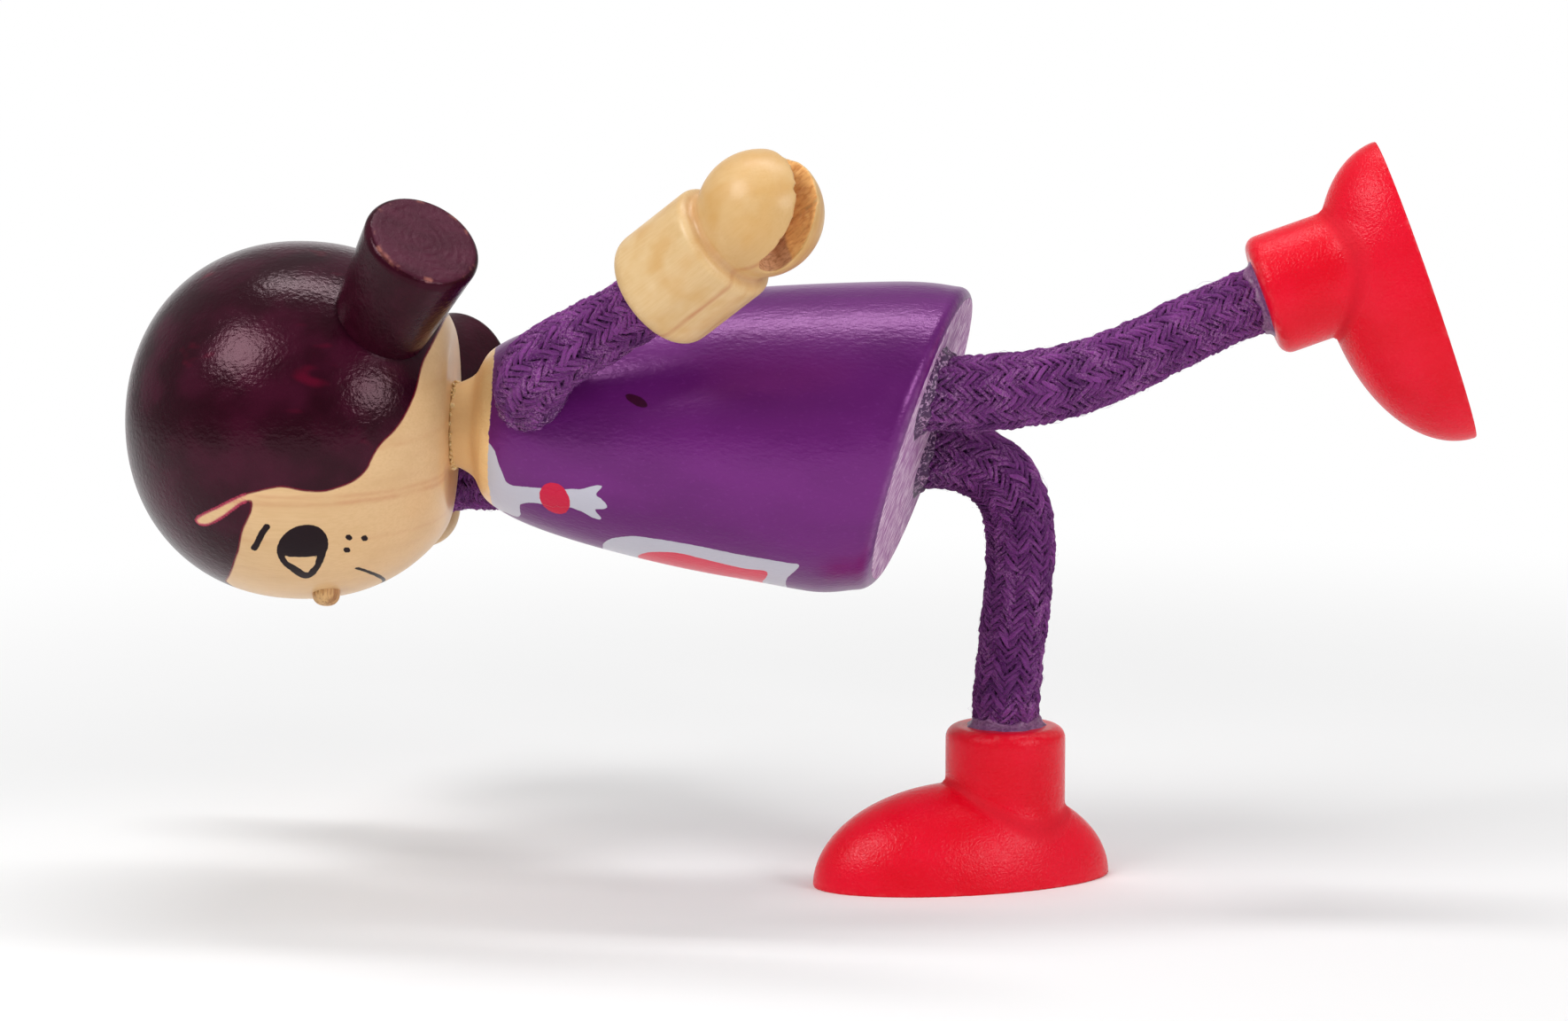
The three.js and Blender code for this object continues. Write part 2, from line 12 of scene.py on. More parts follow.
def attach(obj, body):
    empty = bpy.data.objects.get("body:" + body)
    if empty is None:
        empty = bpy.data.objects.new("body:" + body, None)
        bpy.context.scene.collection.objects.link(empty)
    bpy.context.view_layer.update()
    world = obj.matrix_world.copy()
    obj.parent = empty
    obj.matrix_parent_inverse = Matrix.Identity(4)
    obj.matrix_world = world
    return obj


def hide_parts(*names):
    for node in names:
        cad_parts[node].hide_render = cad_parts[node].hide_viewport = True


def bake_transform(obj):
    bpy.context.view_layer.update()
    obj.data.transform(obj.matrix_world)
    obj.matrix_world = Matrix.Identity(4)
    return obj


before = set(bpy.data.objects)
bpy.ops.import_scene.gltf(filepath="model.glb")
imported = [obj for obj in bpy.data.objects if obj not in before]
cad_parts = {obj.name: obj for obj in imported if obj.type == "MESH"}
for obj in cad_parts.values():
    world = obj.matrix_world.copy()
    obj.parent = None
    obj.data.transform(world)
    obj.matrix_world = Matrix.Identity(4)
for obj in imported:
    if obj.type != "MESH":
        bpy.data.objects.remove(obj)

MM = 0.001  # metres
DEG = math.pi / 180
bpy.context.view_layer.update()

# Head, nose and pigtails, as in the CAD
FIT_GAP = 0.3
HEAD_RADIUS = 17.0
HEAD_CROWN = 16.7
HEAD_FULLNESS = 2.13
HEAD_FLAT_DROP = 14.3
HEAD_FLAT_ROUNDING = 1.1
HEAD_TURN = -7.0  # degrees
NOSE_RADIUS = 1.3
NOSE_OUT = 1.2
NOSE_SINK = 3.0
NOSE_DROP = 3.2
NOSE_ROUNDING = 1.0
PIGTAIL_LENGTH = 10.6
PIGTAIL_SINK = 2.25
PIGTAIL_BASE_RADIUS = 4.5
PIGTAIL_END_RADIUS = 5.55
PIGTAIL_ROUNDING = 0.8
PIGTAIL_BASE = (13.0, 6.8, -8.6)
PIGTAIL_AIM = (0.79, 0.465, -0.4)

# Body and neck
HEM_RADIUS = 14.8
HEM_FLARE = 6.5
HEM_DRAFT = 0.3
HEM_ROUNDING = 1.5
HEM_SLANT = 18.0  # degrees
HEM_SLANT_FADE = 18.0
HEM_INNER = HEM_RADIUS - HEM_DRAFT - HEM_ROUNDING
BODY_WIDTHS = [  # radius, height
    (HEM_RADIUS, HEM_FLARE),
    (13.6, 18.4),
    (11.7, 28.6),
    (9.5, 36.6),
    (7.3, 41.0),
    (4.9, 42.6),
    (3.9, 44.4),
]
SHOULDER_RADIUS, SHOULDER_HEIGHT = BODY_WIDTHS[3]
NECK_RADIUS, NECK_HEIGHT = BODY_WIDTHS[-1]
LEG_SPACING = 15.2
LEG_BACK = 1.6
ARM_FORWARD = 0.6

# Hands and shoes
SLEEVE_RADIUS = 5.75
SLEEVE_LENGTH = 9.9
SLEEVE_ROUNDING = 1.8
SLEEVE_EDGE = 0.8
GROOVE_RADIUS = 4.7
BALL_RADIUS = 5.8
BALL_CENTRE = 14.1
SLOT_WIDTH = 2.6
SLOT_FLOOR = 1.5
SHOE_LENGTH = 29.9
SHOE_WIDTH = 15.8
SHOE_HEIGHT = 9.5
CUFF_RADIUS = 5.8
CUFF_FOOT = 3.2
CUFF_TOP = 14.9
CUFF_ROUNDING = 1.2
CUFF_SETBACK = 4.45

# Pose of the body, hands and shoes
HEM_CENTRE = (-4.0, -5.2, 43.6)
BODY_YAW, BODY_PITCH, BODY_ROLL = -1.9, 1.5, 29.0
LEFT_HAND = ((-29.3, -21.5, 58.6), (0.707, -0.401, 0.582), (-0.667, -0.651, 0.362))
RIGHT_HAND = ((-52.6, 20.8, 35.7), (-0.78, 0.5, -0.38), (-0.3, 0.2, 0.93))
STANDING_YAW = 18.0
RAISED_SOLE_AT = (43.7, -2.5, 57.5)
RAISED_PITCH = 19.6

# Braided cord: sixteen strands wind each way, two plies in each
STRANDS = 16
BRAID_PITCH = 24.0  # length in which a strand goes once round
PLY_WIDTH = 0.5
PLY_THICKNESS = 0.46
PLY_SPREAD = 0.235  # of the room that a strand has, to either side of its middle
BRAID_WAVE = 0.15  # how far a strand rises and dips as it goes over and under
PLY_SIDES = 6
PLY_STRAYS = [(0.036, 1.3), (0.026, 3.1)]  # sizes and rates of waves along a ply, sideways
PLY_LIFTS = [(0.055, 2.3), (0.05, 4.7)]  # outward
PLY_SWELLS = [(0.18, 2.9)]  # in its width
PLY_TONES = [(0.2, 1.1)]  # in how light it is
CORD_LUMPS = [(0.03, 0.9), (0.03, 1.7)]  # in the cord's radius
CORD_STEP = 0.25
FIBRES_PER_MM = 55
PLY_TWIST = 0.42  # length in which the yarn of a ply turns once
CORE_SIDES = 24
GLUE_REACH = (2.6, 0.9)  # how far glue soaks a cord, from its socket and from its sleeve
CORD_OVER = 2.0  # how far a limb's braid goes on inside its socket and its sleeve
ROUTE_OVER = 6.0  # how far its middle line is known there

# Camera of the photograph
CAMERA_TARGET = (-17.2, 0.0, 36.0)
CAMERA_DISTANCE = 500.0
CAMERA_ELEVATION = 8.0  # degrees
CAMERA_LENS = 119.64
SENSOR_WIDTH = 36.0

rng = np.random.default_rng(11)


# Frames

def shift(x, y, z):
    return Matrix.Translation((x, y, z))


def turn(degrees, axis):
    return Matrix.Rotation(degrees * DEG, 4, axis)


def stood(at, aim, across=(0, 0, 1)):
    """Frame at a point with its +Z along an aim and its +Y near a second direction"""
    z = Vector(aim).normalized()
    x = Vector(across).cross(z).normalized()
    made = Matrix((x, z.cross(x), z)).transposed().to_4x4()
    made.translation = at
    return made


FIGURE = (
    shift(*HEM_CENTRE)
    @ turn(BODY_YAW, "Z")
    @ turn(BODY_PITCH - 90, "Y")
    @ turn(BODY_ROLL - 90, "Z")
)
HEAD = FIGURE @ shift(0, 0, NECK_HEIGHT + FIT_GAP + HEAD_FLAT_DROP) @ turn(HEAD_TURN, "Z")
HANDS = {"left": stood(*LEFT_HAND), "right": stood(*RIGHT_HAND)}
SHOES = {
    "right": turn(STANDING_YAW, "Z"),
    "left": shift(*RAISED_SOLE_AT) @ turn(-(90 + RAISED_PITCH), "Y"),
}


# Vectors and lines

def lengths(vectors):
    return np.linalg.norm(vectors, axis=-1)


def unit(vectors):
    return vectors / lengths(vectors)[..., None]


def run_of(line):
    """Length along a line up to each of its points"""
    return np.concatenate([[0], np.cumsum(lengths(np.diff(line, axis=0)))])


def looked_up(places, known, table):
    """Rows of a table at places between the known ones"""
    return np.stack([np.interp(places, known, column) for column in table.T], axis=-1)


def waves(places, sizes_and_rates, phases):
    """Sum of waves, each with a size, a rate and a phase"""
    pairs = zip(sizes_and_rates, phases)
    return sum(size * np.sin(places * rate + phase) for (size, rate), phase in pairs)


def fade(distance, reach):
    """Share that falls from one at nought to none at a reach"""
    return np.clip(1 - distance / reach, 0, 1)


# Meshes

def put(name, data):
    """Object of its own in the scene"""
    made = bpy.data.objects.new(name, data)
    bpy.context.scene.collection.objects.link(made)
    return made


def mesh_of(name, points, faces):
    mesh = bpy.data.meshes.new(name)
    mesh.from_pydata((np.asarray(points, float) * MM).tolist(), [], faces)
    return mesh


def points_of(mesh):
    flat = np.empty(len(mesh.vertices) * 3)
    mesh.vertices.foreach_get("co", flat)
    return flat.reshape(-1, 3) / MM


def move_points(mesh, points):
    mesh.vertices.foreach_set("co", (points * MM).ravel())
    mesh.update()


def store(mesh, name, values):
    layer = mesh.attributes.new(name, "FLOAT", "POINT")
    layer.data.foreach_set("value", np.asarray(values, np.float32))


def piece(name, mesh, place, material):
    """Shown object from a mesh in its own frame, which its material keeps to"""
    points = points_of(mesh)
    layer = mesh.attributes.new("place", "FLOAT_VECTOR", "POINT")
    layer.data.foreach_set("vector", points.astype(np.float32).ravel())
    matrix = np.array(place)
    move_points(mesh, points @ matrix[:3, :3].T + matrix[:3, 3])
    mesh.shade_smooth()
    mesh.materials.clear()
    mesh.materials.append(material)
    made = put(name, mesh)
    return made


def spline(points, steps=8, closed=False):
    """Smooth line through points of any dimension"""
    p = np.asarray(points, float)
    if closed:
        before, after, last = np.roll(p, 1, 0), np.roll(p, -1, 0), np.roll(p, -2, 0)
        here = p
    else:
        before = np.vstack([p[:1], p[:-2]])
        here, after = p[:-1], p[1:]
        last = np.vstack([p[2:], p[-1:]])
    t = np.linspace(0, 1, steps, endpoint=False)[None, :, None]
    a, b, c, d = (q[:, None, :] for q in (before, here, after, last))
    u, v = (c - a) / 2, (d - b) / 2
    line = (2 * b - 2 * c + u + v) * t**3 + (3 * c - 3 * b - 2 * u - v) * t**2 + u * t + b
    line = line.reshape(-1, p.shape[1])
    return line if closed else np.vstack([line, p[-1:]])


def corner(r, z, rounding, start, end, steps=8):
    """Round corner of an outline, between two angles in degrees"""
    t = np.linspace(start, end, steps + 1) * DEG
    return np.column_stack([r + rounding * np.cos(t), z + rounding * np.sin(t)])


def evenly(outline, step):
    """The same line with points at equal steps"""
    line = np.asarray(outline, float)
    run = run_of(line)
    return looked_up(np.linspace(0, run[-1], max(2, int(round(run[-1] / step)) + 1)), run, line)


def faced(mesh):
    """The same mesh with doubled points joined and its faces turned outward"""
    shape = bmesh.new()
    shape.from_mesh(mesh)
    bmesh.ops.remove_doubles(shape, verts=shape.verts, dist=1e-8)
    bmesh.ops.recalc_face_normals(shape, faces=shape.faces)
    shape.to_mesh(mesh)
    shape.free()
    return mesh


def once_round(count):
    """Angles of even steps once round"""
    return np.arange(count) * math.tau / count


def tube_faces(tubes, rings, sides, first=0):
    """Quads of a set of tubes whose points are in order"""
    here = np.arange(sides)
    there = (here + 1) % sides
    quad = np.stack([here, there, there + sides, here + sides], -1)
    rows = np.arange(rings - 1)[:, None, None] * sides
    each = np.arange(tubes)[:, None, None, None] * rings * sides
    return (first + each + rows + quad).reshape(-1, 4).tolist()


def turned(name, outline, columns):
    """Closed mesh turned about Z from a line of radii and heights that starts and ends on it"""
    angles = once_round(columns)
    r, z = outline[:, 0, None], outline[:, 1, None]
    x, y = r * np.sin(angles), -r * np.cos(angles)
    points = np.stack([x, y, z + 0 * x], axis=-1).reshape(-1, 3)
    return faced(mesh_of(name, points, tube_faces(1, len(outline), columns)))


def blended(name, main, other, kind, voxel, passes):
    """Two meshes joined or cut, with their edges softened"""
    objects = [put(name + str(i), mesh) for i, mesh in enumerate((main, other))]
    join = objects[0].modifiers.new("join", "BOOLEAN")
    join.operation, join.solver, join.object = kind, "EXACT", objects[1]
    remesh = objects[0].modifiers.new("remesh", "REMESH")
    remesh.mode, remesh.voxel_size = "VOXEL", voxel * MM
    soften = objects[0].modifiers.new("soften", "SMOOTH")
    soften.factor, soften.iterations = 0.5, passes
    graph = bpy.context.evaluated_depsgraph_get()
    made = bpy.data.meshes.new_from_object(objects[0].evaluated_get(graph))
    for o in objects:
        bpy.data.objects.remove(o)
    return made


# Painted outlines on a turned surface, as angles round from the front and heights

def around(points):
    """Angle from the front in degrees, + towards the doll's left"""
    return np.degrees(np.arctan2(points[:, 0], -points[:, 1]))


def wrapped(outline, line):
    """Points of space on a turned outline, from a line of angles and heights"""
    line = np.asarray(line, float)
    r = np.interp(line[:, 1], outline[:, 1], outline[:, 0])
    phi = line[:, 0] * DEG
    return np.column_stack([r * np.sin(phi), -r * np.cos(phi), line[:, 1]])


def distance(points, path):
    """Least distance from each point to a path in space"""
    least = np.full(len(points), 1e9)
    for a, b in zip(path[:-1], path[1:]):
        along = b - a
        t = np.clip((points - a) @ along / max(along @ along, 1e-12), 0, 1)
        least = np.minimum(least, lengths(points - a - t[:, None] * along))
    return least


def inside(points, line):
    """Which points lie inside a closed line of angles and heights"""
    phi, z = around(points), points[:, 2]
    odd = np.zeros(len(points), bool)
    for (a, za), (b, zb) in zip(line, np.roll(line, -1, 0)):
        if za == zb:
            continue
        crosses = (za > z) != (zb > z)
        odd ^= crosses & (phi < (b - a) * (z - za) / (zb - za) + a)
    return odd


def patch(points, outline, line):
    """Distance in from the edge of a painted patch, negative outside it"""
    line = np.asarray(line, float)
    away = distance(points, wrapped(outline, np.vstack([line, line[:1]])))
    return np.where(inside(points, line), away, -away)


def stroke(points, outline, line, width):
    """The same for a painted stroke"""
    return width / 2 - distance(points, wrapped(outline, spline(line)))


# Materials

def linear(c):
    """Share of light in a shader from the number of 255 that a picture shows"""
    c /= 255
    return c / 12.92 if c <= 0.04045 else ((c + 0.055) / 1.055) ** 2.4


class Nodes:
    """Short ways to put nodes into a tree. Colours of three numbers are those of a picture."""

    def __init__(self, tree):
        self.tree = tree
        tree.nodes.clear()

    def add(self, kind, **settings):
        made = self.tree.nodes.new("ShaderNode" + kind)
        for key, value in settings.items():
            setattr(made, key, value)
        return made

    def feed(self, socket, value):
        if isinstance(value, bpy.types.NodeSocket):
            self.tree.links.new(value, socket)
        elif socket.type == "RGBA" and len(value) == 3:
            socket.default_value = (*map(linear, value), 1.0)
        else:
            socket.default_value = value

    def made(self, kind, **values):
        """Outputs of a new node whose inputs are fed by name"""
        node = self.add(kind)
        for key, value in values.items():
            self.feed(node.inputs[key], value)
        return node.outputs

    def step(self, value, low, high, to_low=0.0, to_high=1.0):
        """Smooth change of a value between two others"""
        made = self.add("MapRange", interpolation_type="SMOOTHSTEP")
        for key, number in enumerate((value, low, high, to_low, to_high)):
            self.feed(made.inputs[key], number)
        return made.outputs[0]

    def maths(self, kind, a, b=0.0):
        made = self.add("Math", operation=kind)
        self.feed(made.inputs[0], a)
        self.feed(made.inputs[1], b)
        return made.outputs[0]

    def times(self, a, b):
        return self.maths("MULTIPLY", a, b)

    def plus(self, a, b):
        return self.maths("ADD", a, b)

    def mix(self, share, a, b):
        made = self.add("Mix", data_type="RGBA")
        self.feed(made.inputs[0], share)
        self.feed(made.inputs[6], a)
        self.feed(made.inputs[7], b)
        return made.outputs[2]

    def seen_white(self, behind):
        """Rays that meet the white background: the camera's, and reflected ones behind the doll"""
        rays = self.add("LightPath").outputs
        reflected = self.maths("MAXIMUM", rays["Is Glossy Ray"], rays["Is Transmission Ray"])
        return self.maths("MAXIMUM", rays["Is Camera Ray"], self.times(reflected, behind))


class Finish(Nodes):
    """A material's nodes. Its places are in the piece's own frame, in mm."""

    def __init__(self, name, own_frame=True):
        self.material = bpy.data.materials.new(name)
        self.material.use_nodes = True
        super().__init__(self.material.node_tree)
        self.shader = self.add("BsdfPrincipled")
        self.output = self.add("OutputMaterial")
        self.feed(self.output.inputs[0], self.shader.outputs[0])
        if own_frame:
            self.place = self.add("Attribute", attribute_name="place").outputs["Vector"]
        else:
            scaled = self.add("VectorMath", operation="SCALE")
            scaled.inputs["Scale"].default_value = 1 / MM
            self.feed(scaled.inputs[0], self.add("TexCoord").outputs["Object"])
            self.place = scaled.outputs[0]

    def set(self, **values):
        for key, value in values.items():
            self.feed(self.shader.inputs[key.replace("_", " ")], value)

    def mapped(self, size, stretch, around=0.0):
        """Places in lengths of a size, drawn out along axes that are turned round Z"""
        scale = [1 / (size * s) for s in stretch]
        turned_by = (0, 0, -around * DEG)
        return self.made("Mapping", Vector=self.place, Scale=scale, Rotation=turned_by)[0]

    def noise(self, size, stretch=(1, 1, 1), detail=3.0, distortion=0.0):
        """Lumps of a size, drawn out along the axes"""
        values = dict(Scale=1.0, Detail=detail, Roughness=0.55, Distortion=distortion)
        return self.made("TexNoise", Vector=self.mapped(size, stretch), **values)["Fac"]

    def rings(self, size, around):
        """Year rings of a width, as nearly flat layers that face an angle round Z"""
        place = self.mapped(size, (1, 1, 8), around)
        values = {"Scale": 0.314, "Distortion": 0.5, "Detail": 2.0, "Detail Scale": 0.6}
        return self.made("TexWave", Vector=place, **values)["Fac"]

    def streak(self, around, off, width, wander=0.5):
        """Thin dark layer of the wood, whose plane faces an angle round Z"""
        x = self.times(self.axis("X"), math.cos(around * DEG))
        y = self.times(self.axis("Y"), math.sin(around * DEG))
        across = self.plus(self.plus(x, y), self.wandering(5.0, wander, (1, 1, 2)))
        away = self.maths("ABSOLUTE", self.maths("SUBTRACT", across, off))
        broken = self.step(self.noise(1.2, (1, 1, 5), detail=3), 0.3, 0.62, 0.15, 1)
        return self.times(self.step(away, 0, width, 1, 0), broken)

    def attribute(self, name):
        return self.add("Attribute", attribute_name=name).outputs["Fac"]

    def axis(self, name):
        return self.made("SeparateXYZ", Vector=self.place)[name]

    def wandering(self, size, reach, stretch=(1, 1, 1), detail=2):
        """Lumps about nought"""
        return self.times(self.maths("SUBTRACT", self.noise(size, stretch, detail), 0.5), reach)

    def mottle(self, colour, other, size, low, high, most=1.0, stretch=(1, 1, 1), detail=2):
        """Colour with lumps of another laid over it"""
        share = self.step(self.noise(size, stretch, detail), low, high, 0, most)
        return self.mix(share, colour, other)

    def paint(self, under, name, colour, ragged=0.05):
        """Colour laid on where an attribute is above nought, with a brushed edge, and its share"""
        edge = self.plus(self.attribute(name), self.wandering(0.5, ragged * 3))
        share = self.step(edge, -0.04, 0.04)
        return self.mix(share, under, colour), share

    def bump(self, *heights):
        """Relief from pairs of a height and how deep it is"""
        below = {}
        for height, depth in heights:
            relief = self.made("Bump", Strength=1.0, Distance=depth * MM, Height=height, **below)
            below = {"Normal": relief[0]}
        self.set(**below)


def wood_colour(f, pale, dark, line, size=1.0, lines=0.3, around=0.0):
    """Close-grained wood whose grain runs along Z and whose rings face an angle round it"""
    fine = f.noise(0.2 * size, (1, 1, 12), detail=4)
    colour = f.mix(f.step(fine, 0.36, 0.7, 0, 0.45), pale, dark)
    colour = f.mottle(colour, dark, 3.4 * size, 0.42, 0.72, 0.5, (1, 1, 3.5), 3)
    rings = f.step(f.rings(1.9 * size, around), 0.6, 1.0)
    faded = f.step(f.noise(3.2 * size, (1, 1, 3)), 0.42, 0.66, 0, lines)
    colour = f.mix(f.times(rings, faded), colour, line)
    return f.mottle(colour, line, 0.2 * size, 0.68, 0.8, 0.3, (1, 1, 4), 1), fine


HEAD_GRAIN = 57.0  # degrees round the head that its year rings face
HEAD_STREAKS = [  # places across the rings, widths and shares of the darker ones
    (-2.0, 0.4, 0.36), (-2.65, 0.5, 0.44), (-6.9, 0.4, 0.16), (2.4, 0.4, 0.25),
]


def head_finish():
    f = Finish("head_paint")
    tones = (226, 187, 137), (214, 172, 120), (200, 146, 104)
    wood, grain = wood_colour(f, *tones, lines=0.14, around=HEAD_GRAIN)
    for off, width, share in HEAD_STREAKS:
        streak = f.times(f.streak(HEAD_GRAIN, off, width), share)
        wood = f.mix(streak, wood, (200, 128, 88))
    hair = f.mottle((38, 6, 18), (58, 12, 32), 5.0, 0.35, 0.7)
    hair = f.mottle(hair, (112, 8, 42), 3.0, 0.66, 0.8, 0.42, (1, 1, 2))
    # Painted shade: the hair is darker round each pigtail's foot, where its contact shadow falls
    hair = f.mix(f.times(f.attribute("foot"), 0.8), hair, (18, 2, 8))
    colour, covered = f.paint(wood, "hair", hair)
    rim = f.step(f.maths("ABSOLUTE", f.attribute("hair")), 0.03, 0.16, 0.8, 0)
    colour = f.mix(rim, colour, (118, 14, 40))
    seam = f.plus(f.attribute("parting"), f.wandering(0.8, 0.14, detail=3))
    colour = f.mix(f.step(seam, 0.05, 0.24, 0.85, 0), colour, (196, 68, 96))
    colour, inked = f.paint(colour, "ink", (12, 8, 12))
    painted = f.maths("MAXIMUM", covered, inked)
    f.set(Base_Color=colour, Specular_IOR_Level=f.step(painted, 0, 1, 0.5, 0.245))
    f.set(Specular_Tint=f.mix(painted, (1.0, 1.0, 1.0, 1.0), (1.0, 0.6, 0.7, 1.0)))
    f.set(Roughness=f.step(f.maths("SUBTRACT", covered, inked), 0, 1, 0.32, 0.2))
    peel = f.times(f.noise(0.5, detail=2), covered)
    fine = f.noise(0.2, (1, 1, 3), detail=2)
    f.bump((covered, 0.03), (peel, 0.05), (fine, 0.007), (grain, 0.006))
    return f.material


def pigtail_finish():
    f = Finish("pigtail_paint")
    colour = f.mottle((42, 7, 19), (54, 12, 28), 3.5, 0.35, 0.7)
    x, y = f.axis("X"), f.axis("Y")
    radius = f.maths("SQRT", f.plus(f.times(x, x), f.times(y, y)))
    wobble = f.times(f.noise(2.5, detail=2), 0.9)
    rings = f.maths("SINE", f.times(f.plus(radius, wobble), math.tau / 0.9))
    end = f.attribute("end")
    rings = f.times(f.times(rings, end), f.step(f.noise(1.8), 0.42, 0.7))
    # Paler paint on the flat end, in brushed streaks: partly the end's brushed paint, partly a
    # painted sheen
    brushed_sheen = f.step(f.noise(1.6, (1, 3, 1), detail=4), 0.35, 0.7, 0.35, 0.7)
    colour = f.mix(f.times(end, brushed_sheen), colour, (88, 39, 58))
    wear = f.times(f.attribute("rim"), f.step(f.noise(2.2, detail=4), 0.5, 0.68, 0, 0.75))
    colour = f.mix(wear, colour, (186, 120, 104))
    f.set(Base_Color=colour, Roughness=f.step(end, 0, 1, 0.22, 0.42))
    f.set(Specular_IOR_Level=0.16, Specular_Tint=(1.0, 0.6, 0.7, 1.0))
    f.bump((f.noise(0.5, detail=2), 0.045), (rings, 0.018), (f.noise(0.2), 0.006))
    return f.material


def body_finish():
    f = Finish("body_paint")
    colour = f.mottle((88, 19, 96), (100, 26, 108), 7.0, 0.3, 0.7, stretch=(1, 1, 2))
    colour = f.mottle(colour, (124, 50, 132), 0.3, 0.55, 0.85, 0.4, (1, 1, 1.6))
    colour, _ = f.paint(colour, "spot", (54, 8, 34))
    colour, cloth = f.paint(colour, "cloth", (194, 198, 206))
    colour, _ = f.paint(colour, "knot", (203, 0, 28))
    colour, _ = f.paint(colour, "pocket", (222, 32, 52))
    tan, _ = wood_colour(f, (250, 212, 148), (240, 194, 128), (208, 150, 88), lines=0.12)
    # Painted light: the tan neck is lighter towards the head, where the light falls on it
    painted_light_by_head = f.step(f.axis("Z"), NECKLINE + 1.0, NECKLINE + 2.6, 0, 0.6)
    tan = f.mix(painted_light_by_head, tan, (255, 226, 168))
    colour, neck = f.paint(colour, "neck", tan, ragged=0.12)
    streak = f.noise(0.42, (1, 9, 1), detail=4)
    hem = f.mix(f.step(streak, 0.36, 0.66), (158, 104, 158), (222, 200, 218))
    hem = f.mottle(hem, (142, 80, 142), 3.0, 0.45, 0.8, 0.5)
    colour, face = f.paint(colour, "hem_face", hem, ragged=0.1)
    # Lighter paint along the hem's rounded edge: partly worn paint, partly a painted sheen
    rim = f.times(f.attribute("hem_rim"), f.step(f.noise(0.9, detail=4), 0.3, 0.7))
    colour = f.mix(f.times(rim, 0.45), colour, (184, 126, 184))
    f.set(Base_Color=colour, Specular_IOR_Level=0.75, Specular_Tint=(1.0, 0.4, 1.0, 1.0))
    f.set(Roughness=f.step(face, 0, 1, 0.3, 0.75))
    f.bump(
        (f.noise(1.3, (1, 1, 2), detail=2), 0.045),
        (f.noise(0.32, (1, 1, 1.8), detail=2), 0.036),
        (cloth, 0.03),
        (neck, 0.03),
        (f.times(streak, face), 0.09),
    )
    return f.material


HAND_GRAIN = 90.0  # degrees round a hand that its year rings face


def hand_finish():
    f = Finish("hand_varnish")
    tones = (222, 187, 136), (211, 171, 112), (196, 142, 90)
    colour, grain = wood_colour(f, *tones, lines=0.15, around=HAND_GRAIN)
    colour = f.mottle(colour, (208, 156, 84), 3.2, 0.45, 0.72, 0.6, (1, 1, 1.5))
    colour = f.mottle(colour, (232, 206, 160), 3.4, 0.45, 0.8, 0.5)
    ball = f.step(f.axis("Z"), SLEEVE_LENGTH, SLEEVE_LENGTH + 2, 0, 0.4)
    colour = f.mix(ball, colour, (204, 150, 72))
    streak = f.times(f.streak(HAND_GRAIN, 1.15, 0.42, 0.3), 0.65)
    colour = f.mix(streak, colour, (188, 112, 66))
    streak = f.times(f.streak(HAND_GRAIN, -2.4, 0.3), 0.3)
    colour = f.mix(streak, colour, (190, 122, 76))
    fibres = f.step(f.noise(0.26, (1, 1, 3), detail=3), 0.4, 0.68)
    bare = f.mix(fibres, (240, 184, 112), (220, 154, 88))
    floor_grain_and_shade = f.mix(fibres, (204, 152, 110), (170, 116, 78))
    # The slot's floor is darker: partly end grain, partly painted shade in the slot's depth
    bare = f.mix(f.attribute("slot_floor"), bare, floor_grain_and_shade)
    colour, _ = f.paint(colour, "slot", bare)
    colour = f.mix(f.times(f.attribute("groove"), 0.4), colour, (196, 128, 70))
    f.set(Base_Color=colour, Specular_IOR_Level=0.4, Coat_Weight=0.15, Coat_Roughness=0.25)
    f.set(Roughness=f.step(f.attribute("slot"), -0.05, 0.05, 0.42, 0.8))
    f.bump((grain, 0.012), (f.noise(1.6, detail=2), 0.04), (f.noise(0.3, (1, 1, 3)), 0.015))
    return f.material


def nose_finish():
    f = Finish("nose_wood")
    colour, grain = wood_colour(f, (222, 178, 120), (178, 126, 74), (140, 88, 48), 0.8, 0.7)
    flutes = f.noise(0.24, (1, 1, 16), detail=2)
    colour = f.mix(f.step(flutes, 0.5, 0.62, 0, 0.65), colour, (150, 98, 54))
    f.set(Base_Color=colour, Roughness=0.5)
    f.bump((flutes, 0.12), (grain, 0.02))
    return f.material


def shoe_finish():
    f = Finish("shoe_paint")
    colour = f.mottle((224, 5, 31), (232, 12, 42), 6.0, 0.3, 0.7)
    colour = f.mottle(colour, (238, 42, 64), 0.35, 0.5, 0.9, 0.3)
    wear = f.times(f.attribute("edge"), f.step(f.noise(1.0, detail=4), 0.45, 0.75))
    colour = f.mix(f.times(wear, 0.35), colour, (240, 110, 112))
    # Painted shade: the red is darker in the crease where the cuff meets the dome
    colour = f.mix(f.times(f.attribute("crease"), 0.2), colour, (160, 4, 24))
    dull = f.maths("MAXIMUM", f.attribute("crease"), f.attribute("sole"))
    f.set(Base_Color=colour, Roughness=f.step(dull, 0, 0.6, 0.27, 0.6))
    f.set(Specular_IOR_Level=0.27, Specular_Tint=(1.0, 0.75, 0.8, 1.0))
    f.bump((f.noise(1.1, detail=2), 0.045), (f.noise(0.24, detail=2), 0.07))
    return f.material


